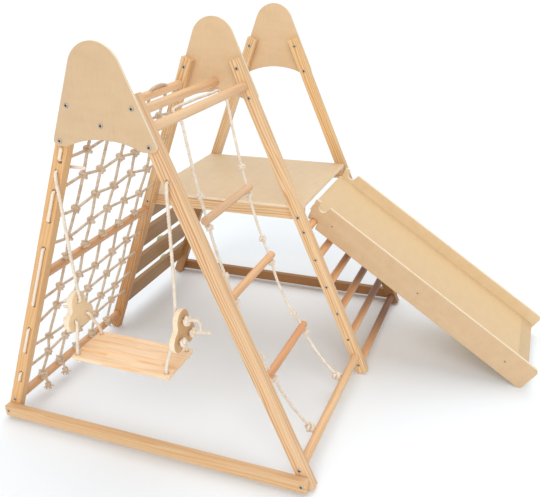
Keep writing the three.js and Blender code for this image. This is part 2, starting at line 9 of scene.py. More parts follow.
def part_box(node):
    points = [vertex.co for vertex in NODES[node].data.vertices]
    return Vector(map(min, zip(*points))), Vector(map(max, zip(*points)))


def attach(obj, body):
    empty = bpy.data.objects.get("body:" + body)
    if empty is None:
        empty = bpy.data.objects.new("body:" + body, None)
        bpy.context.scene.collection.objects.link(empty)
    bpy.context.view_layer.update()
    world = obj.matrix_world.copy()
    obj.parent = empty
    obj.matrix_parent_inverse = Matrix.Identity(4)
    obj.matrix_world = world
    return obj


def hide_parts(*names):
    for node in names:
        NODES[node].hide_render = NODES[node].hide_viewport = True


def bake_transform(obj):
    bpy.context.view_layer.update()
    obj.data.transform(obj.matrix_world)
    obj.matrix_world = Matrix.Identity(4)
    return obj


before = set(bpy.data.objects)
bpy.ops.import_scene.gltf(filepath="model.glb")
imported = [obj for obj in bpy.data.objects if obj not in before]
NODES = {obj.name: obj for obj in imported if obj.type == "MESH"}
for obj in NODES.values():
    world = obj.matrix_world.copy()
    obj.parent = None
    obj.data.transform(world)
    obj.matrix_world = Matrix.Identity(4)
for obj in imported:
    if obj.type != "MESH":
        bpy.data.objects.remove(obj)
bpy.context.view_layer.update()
RNG = random.Random(7)


# ---- The frame's own coordinates ----
# Places are given in millimetres, from the floor below the middle of the front faces of frame A's legs.
FRONT_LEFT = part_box("leg_a_left")
FRONT_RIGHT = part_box("leg_a_right")
SHIFT = Vector(((FRONT_LEFT[0].x + FRONT_RIGHT[1].x) / 2, FRONT_LEFT[0].y, 0))


def at(x, y, z):
    return SHIFT + Vector((x, y, z)) / 1000


HEIGHT = 1217
# A leg's centre line meets the floor this far from the middle, and leans in by so much of its height.
FLOOR_X = 526.6
LEAN_RATE = 0.4071
LEAN = math.atan(LEAN_RATE)
LEG_HALF = 19
LEG_DEPTH = 30
LEG_B_Y = 601
LEG_B_BACK = LEG_B_Y + LEG_DEPTH
LEG_C_Y = 1143
LEG_C_BACK = LEG_C_Y + LEG_DEPTH
# The gap between two pieces that touch.
FIT = 0.3
SIDES = (("left", -1), ("right", 1))
ALONG_X = Vector((1, 0, 0))
ALONG_Y = Vector((0, 1, 0))
ALONG_Z = Vector((0, 0, 1))
FRONT = Vector((0, -1, 0))
BACK = Vector((0, 1, 0))


def leg_x(z):
    """How far a leg's centre line stands from the middle at a height."""
    return FLOOR_X - LEAN_RATE * z


def added(name, data):
    """A new object in the scene."""
    made = bpy.data.objects.new(name, data)
    bpy.context.scene.collection.objects.link(made)
    return made


# ---- Camera ----
def set_camera():
    """The camera that took the photo, as fitted to the frame's straight edges."""
    yaw = math.radians(22.459)
    pitch = math.radians(23.960)
    roll = math.radians(-2.088)
    look = Vector((-math.sin(yaw) * math.cos(pitch), math.cos(yaw) * math.cos(pitch), -math.sin(pitch)))
    level = Vector((math.cos(yaw), math.sin(yaw), 0))
    above = level.cross(look)
    right = math.cos(roll) * level + math.sin(roll) * above
    up = -math.sin(roll) * level + math.cos(roll) * above
    data = bpy.data.cameras.new("camera")
    data.lens = 43.858
    data.sensor_width = 36
    camera = added("camera", data)
    turn = Matrix((right, up, -look)).transposed().to_4x4()
    camera.matrix_world = Matrix.Translation(at(988.5, -1339.9, 1383.1)) @ turn
    bpy.context.scene.camera = camera


set_camera()


# ---- Node materials ----
class Shader:
    """Builds one node material. A value given to a node is a number, a colour or another node's output."""

    def __init__(self, name, roughness, metallic=0.0):
        self.material = bpy.data.materials.new(name)
        self.material.use_nodes = True
        self.tree = self.material.node_tree
        self.bsdf = self.tree.nodes["Principled BSDF"]
        self.bsdf.inputs["Roughness"].default_value = roughness
        self.bsdf.inputs["Metallic"].default_value = metallic
        coords = self.tree.nodes.new("ShaderNodeTexCoord")
        self.place = coords.outputs["Object"]
        self.normal = coords.outputs["Normal"]

    def put(self, value, socket):
        if isinstance(value, bpy.types.NodeSocket):
            self.tree.links.new(value, socket)
        else:
            socket.default_value = value

    def node(self, kind, inputs=None, **settings):
        made = self.tree.nodes.new("ShaderNode" + kind)
        for key, value in settings.items():
            setattr(made, key, value)
        for key, value in (inputs or {}).items():
            self.put(value, made.inputs[key])
        return made

    def math(self, operation, a, b=0.0, c=0.0):
        made = self.node("Math", {0: a, 1: b, 2: c}, operation=operation)
        return made.outputs[0]

    def vector(self, operation, a, b):
        return self.node("VectorMath", {0: a, 1: b}, operation=operation).outputs[0]

    def dot(self, vector, axis):
        made = self.node("VectorMath", {0: vector, 1: tuple(axis)}, operation="DOT_PRODUCT")
        return made.outputs["Value"]

    def facing(self, face):
        """1 where the surface lies flat to the face's direction, 0 where it stands square to it."""
        return self.math("ABSOLUTE", self.dot(self.normal, face.normalized()))

    def split(self, vector):
        return self.node("SeparateXYZ", {0: vector}).outputs

    def noise(self, vector, scale, detail=2.0, distortion=0.0):
        inputs = {"Vector": vector, "Scale": scale, "Detail": detail, "Distortion": distortion}
        return self.node("TexNoise", inputs).outputs["Fac"]

    def stretched(self, vector, x, y, z, offset=0.0):
        return self.vector("ADD", self.vector("MULTIPLY", vector, (x, y, z)), (offset, offset, offset))

    def ramp(self, value, low, high, to_low=0.0, to_high=1.0):
        inputs = {0: value, 1: low, 2: high, 3: to_low, 4: to_high}
        return self.node("MapRange", inputs, interpolation_type="SMOOTHSTEP").outputs[0]

    def mix(self, factor, a, b):
        made = self.node("Mix", data_type="RGBA")
        self.put(factor, made.inputs[0])
        for colour, socket in ((a, made.inputs[6]), (b, made.inputs[7])):
            self.put(colour if isinstance(colour, bpy.types.NodeSocket) else (*colour, 1), socket)
        return made.outputs[2]

    def bump(self, height, strength, distance):
        inputs = {"Height": height, "Strength": strength, "Distance": distance}
        made = self.node("Bump", inputs)
        self.put(made.outputs[0], self.bsdf.inputs["Normal"])

    def finish(self, colour):
        self.put(colour, self.bsdf.inputs["Base Color"])
        return self.material


def wood_axes(shader, grain, face):
    """Object coordinates turned so that X runs along the fibres and Z through the thickness."""
    grain = grain.normalized()
    face = face.normalized()
    side = face.cross(grain).normalized()
    parts = [shader.dot(shader.place, axis) for axis in (grain, side, face)]
    return shader.node("CombineXYZ", {0: parts[0], 1: parts[1], 2: parts[2]}).outputs[0]


def toned(colour, tone):
    return tuple(min(1.0, part * by) for part, by in zip(colour, tone))


def scaled(colour, share):
    return toned(colour, (share, share, share))


PINE_PALE = (0.815, 0.565, 0.315)
PINE_DEEP = (0.590, 0.315, 0.125)
PINE_RING = 0.0088
WIDE_RING = 0.012
# Painted shade low on the legs under the deck and the slide: the foot tone darkens them from this height down
# to that one, in metres.
FOOT_TOP = 0.78
FOOT_FULL = 0.30


def pine(name, grain, face, seed, pale=PINE_PALE, deep=PINE_DEEP, ring=PINE_RING, foot=None):
    """Solid pine: uneven growth rings that show as long soft lines, some of them much stronger than others.

    The foot is a tone of painted shade that darkens the wood more and more from FOOT_TOP down to FOOT_FULL.
    """
    s = Shader(name, 0.42)
    place = wood_axes(s, grain, face)
    split = s.split(place)
    drift = s.noise(s.stretched(place, 1.5, 5, 5, seed), 1.0, 1.0)
    wobble = s.noise(s.stretched(place, 5.0, 55, 55, seed + 7), 1.0, 1.0)
    across = s.math("MULTIPLY_ADD", split[2], 0.85 + 0.25 * math.sin(seed * 1.7), split[1])
    across = s.math("MULTIPLY_ADD", drift, 0.075, across)
    across = s.math("MULTIPLY_ADD", wobble, 0.014, across)
    rings = s.math("FRACT", s.math("MULTIPLY", across, 1 / ring))
    late = s.math("MULTIPLY", s.ramp(rings, 0.15, 0.78), s.ramp(rings, 1.0, 0.86))
    tone = s.noise(s.stretched(place, 0.8, 36, 36, seed + 3), 1.0, 1.0)
    line = s.math("MULTIPLY", late, s.ramp(tone, 0.34, 0.60, 0.22, 0.95))
    streaks = s.noise(s.stretched(place, 4, 300, 300, seed), 1.0, 3.0)
    line = s.math("MULTIPLY_ADD", s.ramp(streaks, 0.35, 0.75), 0.12, line)
    warm = s.ramp(s.noise(s.stretched(place, 0.6, 14, 14, seed + 9), 1.0), 0.35, 0.65, 0.0, 0.24)
    line = s.math("MULTIPLY", line, s.ramp(s.facing(face), 0.30, 0.80, 0.75, 1.0))
    colour = s.mix(s.math("MAXIMUM", line, warm), pale, deep)
    # Painted shade, darker towards the floor.
    if foot:
        low = s.ramp(s.split(s.place)[2], FOOT_TOP, FOOT_FULL)
        colour = s.mix(low, colour, s.mix(line, toned(pale, foot), toned(deep, foot)))
    s.bump(s.math("MULTIPLY_ADD", late, 0.5, streaks), 0.10, 0.0006)
    return s.finish(colour)


BIRCH_PALE = (0.660, 0.466, 0.276)
BIRCH_DEEP = (0.572, 0.376, 0.206)
PLY = 0.0015


def plywood(name, grain, face, seed, pale, deep, ply=PLY, start=0.0):
    """Birch plywood: a calm, faintly figured face, and fine layers along its edges.

    The layers are one ply thick and are counted from start, the place of one face along the face's direction.
    """
    s = Shader(name, 0.40)
    place = wood_axes(s, grain, face)
    wander = s.noise(s.stretched(place, 3.0, 7, 0, seed), 1.0, 2.0)
    split = s.split(place)
    warped = s.math("MULTIPLY_ADD", wander, 0.16, split[1])
    sheet = s.node("CombineXYZ", {0: s.math("MULTIPLY", split[0], 2.2), 1: warped}).outputs[0]
    figure = s.noise(sheet, 17.0, 3.0)
    pores = s.noise(s.stretched(place, 45, 800, 0, seed + 5), 1.0, 2.0)
    fleck = s.noise(s.stretched(place, 13, 120, 0, seed + 2), 1.0, 2.0)
    tint = s.math("MULTIPLY_ADD", s.ramp(pores, 0.40, 0.74), 0.24, s.ramp(figure, 0.30, 0.76, 0.08, 0.40))
    tint = s.math("MULTIPLY_ADD", s.ramp(fleck, 0.52, 0.78), 0.18, tint)
    colour = s.mix(tint, pale, deep)
    depth = s.math("MULTIPLY", s.math("SUBTRACT", split[2], start), 1 / (2 * ply))
    layer = s.math("PINGPONG", depth, 0.5)
    edge = s.mix(s.ramp(layer, 0.20, 0.30, 0.0, 0.50), (0.95, 0.82, 0.63), (0.66, 0.47, 0.28))
    edge = s.mix(s.ramp(pores, 0.3, 0.8, 0.0, 0.3), edge, (0.70, 0.50, 0.30))
    colour = s.mix(s.ramp(s.facing(face), 0.62, 0.40), colour, edge)
    s.bump(pores, 0.06, 0.0005)
    return s.finish(colour)


BEECH_PALE = (0.840, 0.525, 0.290)
BEECH_DEEP = (0.690, 0.375, 0.185)
# Painted shade: a dowel's far end darkens from this depth back to that one, in millimetres.
FAR_START = 650
FAR_FULL = 1000


def beech(name, seed, pale, deep, far=None):
    """A beech dowel along Y: pinkish, with short fine flecks, and perhaps a painted shade that darkens its
    far end.
    """
    s = Shader(name, 0.40)
    place = wood_axes(s, ALONG_Y, ALONG_Z)
    bands = s.noise(s.stretched(place, 2.0, 45, 45, seed), 1.0, 2.0)
    fleck = s.noise(s.stretched(place, 130, 1300, 1300, seed), 1.0, 2.0)
    fibre = s.noise(s.stretched(place, 9, 420, 420, seed + 4), 1.0, 2.0)
    colour = s.mix(s.ramp(bands, 0.30, 0.72), pale, deep)
    colour = s.mix(s.ramp(fibre, 0.45, 0.8, 0.0, 0.35), colour, (0.55, 0.30, 0.17))
    colour = s.mix(s.ramp(fleck, 0.60, 0.72, 0.0, 0.45), colour, (0.46, 0.24, 0.13))
    # Painted shade, growing towards the far end.
    if far:
        share = s.ramp(s.split(s.place)[1], at(0, FAR_START, 0).y, at(0, FAR_FULL, 0).y)
        colour = s.mix(share, colour, s.mix(fibre, far, scaled(far, 0.7)))
    s.bump(fibre, 0.07, 0.0005)
    return s.finish(colour)


def rope_material(name, pale, deep, outside=None):
    """Fuzzy cotton. The outside colour, if any, is for the stretches on the front face of frame A."""
    s = Shader(name, 0.88)
    tone = s.noise(s.place, 55.0, 2.0)
    fibre = s.noise(s.place, 900.0, 3.0)
    colour = s.mix(s.ramp(tone, 0.30, 0.72), pale, deep)
    colour = s.mix(s.ramp(fibre, 0.45, 0.75, 0.0, 0.45), colour, scaled(deep, 0.72))
    if outside:
        share = s.ramp(s.split(s.place)[1], at(0, 12, 0).y, at(0, -2, 0).y)
        colour = s.mix(share, colour, outside)
    s.bsdf.inputs["Sheen Weight"].default_value = 0.25
    s.bsdf.inputs["Sheen Roughness"].default_value = 0.5
    s.bump(fibre, 0.5, 0.0008)
    return s.finish(colour)


def steel_material():
    """Dull zinc plating."""
    s = Shader("zinc_steel", 0.42, 0.55)
    wear = s.noise(s.place, 260.0, 3.0)
    colour = s.mix(s.ramp(wear, 0.3, 0.7), (0.60, 0.53, 0.44), (0.38, 0.33, 0.27))
    s.bump(wear, 0.05, 0.0002)
    return s.finish(colour)


def hold_material(name, base, seed):
    """Gritty cast resin."""
    s = Shader(name, 0.62)
    grit = s.noise(s.place, 700.0, 3.0)
    cloud = s.noise(s.stretched(s.place, 30, 30, 30, seed), 1.0, 2.0)
    colour = s.mix(s.ramp(cloud, 0.3, 0.7), base, scaled(base, 0.72))
    colour = s.mix(s.ramp(grit, 0.62, 0.72, 0.0, 0.5), colour, scaled(base, 1.3))
    s.bump(grit, 0.55, 0.0010)
    return s.finish(colour)


STAVE_WIDTH = 0.030
STAVE_LENGTH = 0.175
FINGER_PITCH = 0.0044
FINGER_LENGTH = 0.007


def seat_material():
    """Narrow pine staves glued edge to edge, each with its own tone, finger-jointed end to end."""
    s = Shader("jointed_pine", 0.42)
    split = s.split(s.place)
    across = s.math("MULTIPLY", s.math("ADD", split[1], 1.0), 1 / STAVE_WIDTH)
    stave = s.math("FLOOR", across)
    slide_along = s.math("MULTIPLY", s.math("FRACT", s.math("MULTIPLY", stave, 0.377)), 0.24)
    zigzag = s.math("PINGPONG", s.math("MULTIPLY", split[1], 1 / FINGER_PITCH), 0.5)
    joint_x = s.math("MULTIPLY_ADD", zigzag, FINGER_LENGTH, s.math("ADD", split[0], 1.0))
    block = s.math("FLOOR", s.math("MULTIPLY", s.math("ADD", joint_x, slide_along), 1 / STAVE_LENGTH))
    key = s.node("CombineXYZ", {0: stave, 1: block}).outputs[0]
    tone = s.node("TexWhiteNoise", {"Vector": key}, noise_dimensions="3D").outputs["Value"]
    apart = s.vector("MULTIPLY", key, (3.1, 7.7, 1.3))
    grain = s.noise(s.vector("ADD", s.stretched(s.place, 5, 150, 150), apart), 1.0, 3.0, 0.6)
    streak = s.noise(s.vector("ADD", s.stretched(s.place, 7, 70, 70), apart), 1.0)
    colour = s.mix(s.ramp(tone, 0.0, 1.0), (0.93, 0.68, 0.45), (0.90, 0.60, 0.34))
    colour = s.mix(s.ramp(streak, 0.52, 0.72, 0.0, 0.75), colour, (0.84, 0.44, 0.17))
    colour = s.mix(s.ramp(grain, 0.50, 0.80, 0.0, 0.5), colour, (0.66, 0.36, 0.16))
    seam = s.math("PINGPONG", across, 0.5)
    colour = s.mix(s.ramp(seam, 0.03, 0.0, 0.0, 0.35), colour, (0.60, 0.34, 0.16))
    s.bump(grain, 0.08, 0.0005)
    return s.finish(colour)


LEG_UP = {"left": Vector((LEAN_RATE, 0, 1)), "right": Vector((-LEAN_RATE, 0, 1))}
OFF_BOARDS = Vector((-math.cos(LEAN), 0, math.sin(LEAN)))
SLIDE_PITCH = math.radians(34.68)
DOWN_SLIDE = Vector((math.cos(SLIDE_PITCH), 0, -math.sin(SLIDE_PITCH)))
OFF_SLIDE = Vector((math.sin(SLIDE_PITCH), 0, math.cos(SLIDE_PITCH)))
ROPE = rope_material("cream_rope", (0.88, 0.78, 0.65), (0.76, 0.63, 0.49))
# Painted shade: the net's rope is the same cream cotton as the swing's, made tan and darker for the shade
# inside the frame; its stretches on frame A's front face keep a paler cream.
NET_ROPE = rope_material("net_rope_painted_shade", (0.77, 0.61, 0.45), (0.59, 0.425, 0.28), (0.86, 0.75, 0.61))
STEEL = steel_material()
SOCKET = Shader("socket_shadow", 0.7, 0.6).finish((0.095, 0.092, 0.086, 1))


def dress(node, material):
    """Gives a CAD node that stays in the picture its material."""
    slots = NODES[node].data.materials
    slots.clear()
    slots.append(material)


LEG_TONES = {
    "a_left": (0.92, 0.81, 0.66),
    "a_right": (0.96, 0.92, 0.94),
    "b_left": (0.98, 0.95, 0.90),
    "b_right": (1.02, 1.03, 1.06),
    "c_left": (0.98, 0.98, 0.96),
    "c_right": (1.05, 1.04, 0.96),
}
# The tone of the painted shade at the foot of the legs that stand under the deck and the slide.
LEG_FOOT_SHADES = {"b_left": (0.70, 0.54, 0.38), "c_left": (0.52, 0.38, 0.25), "c_right": (0.40, 0.28, 0.18)}
# Leg A left has fainter lines than the others.
CALM_LINES = (1.25, 1.4, 1.55)
for index, (leg, tone) in enumerate(LEG_TONES.items()):
    pale = toned(PINE_PALE, tone)
    deep = toned(PINE_DEEP, tone)
    if leg == "a_left":
        deep = toned(deep, CALM_LINES)
    up = LEG_UP[leg[2:]]
    look = pine("pine_leg_" + leg, up, ALONG_Y, 2.3 + 3.7 * index, pale, deep, foot=LEG_FOOT_SHADES.get(leg))
    dress("leg_" + leg, look)
BAR_PALE = toned(PINE_PALE, (0.87, 0.84, 0.84))
BAR_DEEP = toned(PINE_DEEP, (1.12, 1.15, 1.20))
dress("base_bar_a", pine("pine_base_bar_a", ALONG_X, ALONG_Y, 21.7, BAR_PALE, BAR_DEEP, WIDE_RING))
# Painted shade: base bar C's pine is made far darker and browner than base bar A's, for the shade it lies in
# at the back, under the deck.
FAR_BAR_SHADED_PALE = (0.335, 0.150, 0.042)
FAR_BAR_SHADED_DEEP = (0.222, 0.088, 0.020)
dress("base_bar_c", pine("pine_base_bar_c", ALONG_X, ALONG_Y, 24.7, FAR_BAR_SHADED_PALE, FAR_BAR_SHADED_DEEP))
for index, apron in enumerate(("platform_apron_front", "platform_apron_back")):
    dress(apron, pine("pine_" + apron, ALONG_X, ALONG_Y, 31.3 + 3 * index))
# Painted shade: the climbing boards' pine is made dark brown, for the shade on their inner faces.
BOARD_SHADED_PALE = (0.380, 0.199, 0.064)
BOARD_SHADED_DEEP = (0.275, 0.128, 0.034)
for index in range(4):
    seed = 41.9 + 3 * index
    look = pine(f"pine_board_{index + 1}", ALONG_Y, OFF_BOARDS, seed, BOARD_SHADED_PALE, BOARD_SHADED_DEEP, WIDE_RING)
    dress(f"climbing_board_{index + 1}", look)
# The deck's plywood is paler than the panels' birch: partly its own paler tone, partly painted light that
# makes up for the shade cast on it by panels B and C and the monkey bars.
DECK_PALE = (0.765, 0.580, 0.368)
DECK_DEEP = (0.675, 0.486, 0.285)
dress("platform_deck", plywood("ply_deck", ALONG_X, ALONG_Z, 5.5, DECK_PALE, DECK_DEEP, 0.0012))
BED_PALE = (0.742, 0.541, 0.312)
BED_DEEP = (0.678, 0.471, 0.250)
dress("slide_bed", plywood("ply_bed", DOWN_SLIDE, OFF_SLIDE, 8.2, BED_PALE, BED_DEEP))
STRIP_PALE = (0.660, 0.480, 0.280)
STRIP_DEEP = (0.560, 0.385, 0.210)
dress("slide_end_strip", plywood("ply_strip", ALONG_Y, OFF_SLIDE, 9.4, STRIP_PALE, STRIP_DEEP))


# ---- Shapes ----
def piece(name, mesh, material, body, replaces=()):
    """Puts a mesh in the scene as a piece that rides the body, in place of the CAD nodes it replaces."""
    made = added(name, mesh)
    mesh.materials.clear()
    mesh.materials.append(material)
    if replaces:
        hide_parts(*replaces)
    if body:
        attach(made, body)
    return made


def face_out(built):
    """Turns the faces of closed bodies to the outside."""
    bmesh.ops.recalc_face_normals(built, faces=built.faces)
    if built.calc_volume(signed=True) < 0:
        bmesh.ops.reverse_faces(built, faces=built.faces)


def mesh_of(name, built):
    mesh = bpy.data.meshes.new(name)
    built.to_mesh(mesh)
    built.free()
    return mesh


def edged_mesh(name, built, degrees):
    """A mesh with smooth faces, where the edges sharper than the angle stay hard."""
    built.normal_update()
    for face in built.faces:
        face.smooth = True
    for edge in built.edges:
        if len(edge.link_faces) == 2 and edge.calc_face_angle(0) > math.radians(degrees):
            edge.smooth = False
    return mesh_of(name, built)


def ring(built, centre, u, v, sides, reach):
    """Adds a ring of vertices round a centre, in the plane of u and v; reach(angle) is their distance."""
    made = []
    for i in range(sides):
        angle = 2 * math.pi * i / sides
        made.append(built.verts.new(centre + (u * math.cos(angle) + v * math.sin(angle)) * reach(angle)))
    return made


def skin(built, rings):
    """Adds the faces between each ring and the next."""
    for low, high in zip(rings, rings[1:]):
        for i in range(len(low)):
            j = (i + 1) % len(low)
            built.faces.new((low[i], low[j], high[j], high[i]))


def capped(built, rings):
    skin(built, rings)
    built.faces.new(rings[0][::-1])
    built.faces.new(rings[-1])


def plate_mesh(name, loops, thickness, edge, axes, centre):
    """A flat plate with rounded edges, measured in millimetres.

    loops are its outlines, the outer one first; axes are its own X, Y and thickness directions.
    """
    curve = bpy.data.curves.new(name, "CURVE")
    curve.dimensions = "2D"
    curve.fill_mode = "BOTH"
    curve.extrude = (thickness / 2 - edge) / 1000
    curve.bevel_depth = edge / 1000
    curve.bevel_resolution = 2
    curve.offset = -edge / 1000
    for loop in loops:
        spline = curve.splines.new("POLY")
        spline.points.add(len(loop) - 1)
        spline.use_cyclic_u = True
        for point, (x, y) in zip(spline.points, loop):
            point.co = (x / 1000, y / 1000, 0, 1)
    holder = added(name, curve)
    bpy.context.view_layer.update()
    evaluated = holder.evaluated_get(bpy.context.evaluated_depsgraph_get())
    flat = bpy.data.meshes.new_from_object(evaluated)
    built = bmesh.new()
    built.from_mesh(flat)
    bpy.data.objects.remove(holder)
    bpy.data.curves.remove(curve)
    bpy.data.meshes.remove(flat)
    bmesh.ops.remove_doubles(built, verts=built.verts, dist=1e-6)
    turn = Matrix(axes).transposed().to_4x4()
    built.transform(Matrix.Translation(centre) @ turn)
    face_out(built)
    return edged_mesh(name, built, 32)


def arc(x, y, radius, start, end, steps):
    turns = (start + (end - start) * i / steps for i in range(steps + 1))
    return [(x + radius * math.cos(t), y + radius * math.sin(t)) for t in turns]


def circle(x, y, radius, steps=24):
    return arc(x, y, radius, 0, 2 * math.pi * (steps - 1) / steps, steps - 1)


DOWEL_CHAMFER = 0.0012


def dowel_mesh(name, start, end, radius):
    """A round bar with chamfered ends."""
    axis = (end - start).normalized()
    length = (end - start).length
    u = axis.orthogonal().normalized()
    v = axis.cross(u)
    thin = radius - DOWEL_CHAMFER
    profile = [(0, thin), (DOWEL_CHAMFER, radius), (length - DOWEL_CHAMFER, radius), (length, thin)]
    built = bmesh.new()
    rings = []
    for along, reach in profile:
        rings.append(ring(built, start + axis * along, u, v, 40, lambda angle: reach))
    capped(built, rings)
    return edged_mesh(name, built, 30)


def spaced(points, step):
    """A smooth line through the points, as points about one step apart."""
    ends = [points[0] * 2 - points[1], *points, points[-1] * 2 - points[-2]]
    fine = []
    for a, b, c, d in zip(ends, ends[1:], ends[2:], ends[3:]):
        knots = [0.0]
        for p, q in ((a, b), (b, c), (c, d)):
            knots.append(knots[-1] + max((q - p).length, 1e-6) ** 0.5)
        count = max(2, int((c - b).length / (step * 0.5)))
        for i in range(count):
            t = knots[1] + (knots[2] - knots[1]) * i / count
            a1 = a.lerp(b, (t - knots[0]) / (knots[1] - knots[0]))
            a2 = b.lerp(c, (t - knots[1]) / (knots[2] - knots[1]))
            a3 = c.lerp(d, (t - knots[2]) / (knots[3] - knots[2]))
            b1 = a1.lerp(a2, (t - knots[0]) / (knots[2] - knots[0]))
            b2 = a2.lerp(a3, (t - knots[1]) / (knots[3] - knots[1]))
            fine.append(b1.lerp(b2, (t - knots[1]) / (knots[2] - knots[1])))
    fine.append(points[-1])
    total = sum((q - p).length for p, q in zip(fine, fine[1:]))
    count = max(3, round(total / step))
    spacing = total / count
    line = [fine[0]]
    walked = 0.0
    for p, q in zip(fine, fine[1:]):
        length = (q - p).length
        while length > 0 and walked + length >= spacing * len(line) and len(line) < count:
            line.append(p.lerp(q, (spacing * len(line) - walked) / length))
        walked += length
    line.append(fine[-1])
    return line


LAY = 0.030


def laid_rope(built, points, radius, step=0.0028, sides=12):
    """Adds a three-strand rope along a smooth line through the points, a little thinner at its ends."""
    line = spaced(points, step)
    tangent = (line[1] - line[0]).normalized()
    normal = tangent.orthogonal().normalized()
    rings = []
    walked = 0.0
    for i, place in enumerate(line):
        ahead = line[min(i + 1, len(line) - 1)]
        behind = line[max(i - 1, 0)]
        turned_to = (ahead - behind).normalized()
        normal = (tangent.rotation_difference(turned_to) @ normal).normalized()
        tangent = turned_to
        binormal = tangent.cross(normal)
        if i:
            walked += (place - line[i - 1]).length
        twist = 2 * math.pi * walked / LAY
        size = radius * (0.72 if i in (0, len(line) - 1) else 1)

        def strands(angle):
            return size * (0.86 + 0.14 * math.cos(3 * (angle - twist)))

        rings.append(ring(built, place, normal, binormal, sides, strands))
    capped(built, rings)


def tied(built, centre, axis, size, strand, stretch=1.15, turns=60, sides=9):
    """Adds an overhand knot, as the closed trefoil that a tied rope makes, about an axis."""
    axis = Vector(axis).normalized()
    u = axis.orthogonal().normalized()
    u.rotate(Matrix.Rotation(RNG.uniform(0, 2 * math.pi), 3, axis))
    v = axis.cross(u)
    scale = (size - strand) / 3

    def place(t):
        reach = 2 + math.cos(3 * t)
        flat = u * (reach * math.cos(2 * t)) + v * (reach * math.sin(2 * t))
        return centre + (flat + axis * (math.sin(3 * t) * stretch)) * scale

    rings = []
    for i in range(turns):
        t = 2 * math.pi * i / turns
        here = place(t)
        tangent = (place(t + 0.01) - place(t - 0.01)).normalized()
        outward = (here - centre).cross(tangent).normalized()
        other = tangent.cross(outward)
        twist = 4 * t

        def strands(angle):
            return strand * (0.90 + 0.10 * math.cos(3 * (angle - twist)))

        rings.append(ring(built, here, outward, other, sides, strands))
    skin(built, rings + rings[:1])


def soft_mesh(name, built):
    """A mesh of closed bodies with smooth faces."""
    bmesh.ops.recalc_face_normals(built, faces=built.faces)
    for face in built.faces:
        face.smooth = True
    return mesh_of(name, built)


# ---- Dowels and rungs ----
DOWEL = 14
THIN_DOWEL = 12.5
LADDER_RUNGS = [(181, 722), (249, 497), (356, 256)]
LADDER_FRONT = 165
LADDER_BACK = 446
MONKEY_Z = 1006
MIDDLE_Z = 544
LOW_Z = 68
RUNG_ZS = [36 + 98 * i for i in range(6)]
BAY_ONE = (LEG_DEPTH + FIT, LEG_B_Y - FIT)
BAY_TWO = (LEG_B_BACK + FIT, LEG_C_Y - FIT)


def add_dowel(node, x, z, span, seed, tint, radius=DOWEL, far=None):
    mesh = dowel_mesh(node + "_turned", at(x, span[0], z), at(x, span[1], z), radius / 1000)
    look = beech("beech_" + node, seed, *tint, far)
    piece(node + "_turned", mesh, look, "frame", [node])


HONEY = ((0.850, 0.575, 0.330), (0.740, 0.435, 0.215))
LIGHT_HONEY = tuple(toned(colour, (1.06, 1.10, 1.16)) for colour in HONEY)
# Painted shade: the net's dowels get a browner tint for the shade they lie in.
SHADED_BROWN = ((0.720, 0.420, 0.215), (0.560, 0.280, 0.125))
CENTRE_BAR_Z = 1013
CENTRE_BAR = (FIT, LEG_B_BACK - FIT)
add_dowel("monkey_bar_left", -leg_x(MONKEY_Z), MONKEY_Z, BAY_ONE, 1.1, LIGHT_HONEY)
add_dowel("monkey_bar_centre", 0, CENTRE_BAR_Z, CENTRE_BAR, 6.4, LIGHT_HONEY)
add_dowel("monkey_bar_right", leg_x(MONKEY_Z), MONKEY_Z, BAY_ONE, 2.7, HONEY)
add_dowel("net_middle_dowel", -leg_x(MIDDLE_Z), MIDDLE_Z, BAY_ONE, 3.3, SHADED_BROWN)
add_dowel("net_bottom_dowel", -leg_x(LOW_Z), LOW_Z, BAY_ONE, 4.8, SHADED_BROWN)
add_dowel("ladder_bottom_dowel", leg_x(LOW_Z), LOW_Z, BAY_ONE, 5.9, HONEY)
RUNG_TINT = tuple(toned(colour, (1.12, 1.03, 0.92)) for colour in (BEECH_PALE, BEECH_DEEP))
# Painted shade for the back ends of the slide rungs, under the slide.
RUNG_SHADE = (0.26, 0.108, 0.037)
for index, z in enumerate(RUNG_ZS):
    node = f"rung_{index + 1}" if index < 5 else "hook_rung"
    add_dowel(node, leg_x(z), z, BAY_TWO, 7.3 + index, RUNG_TINT, far=RUNG_SHADE)
LADDER_TINTS = (
    ((0.820, 0.565, 0.350), (0.700, 0.430, 0.240)),
    ((0.850, 0.510, 0.270), (0.730, 0.390, 0.190)),
    ((0.800, 0.420, 0.205), (0.650, 0.295, 0.130)),
)
LADDER_SPAN = (LADDER_FRONT - 16, LADDER_BACK + 16)
for index, (x, z) in enumerate(LADDER_RUNGS):
    add_dowel(f"ladder_rung_{index + 1}", x, z, LADDER_SPAN, 15.1 + index, LADDER_TINTS[index], THIN_DOWEL)


# ---- Top panels ----
PANEL_AXES = (ALONG_X, ALONG_Z, FRONT)
PANEL_THICK = 9
PANEL_FOOT = 955
PANEL_CORNER = 14
ARCH_HALF = 112
ARCH_RISE = 24


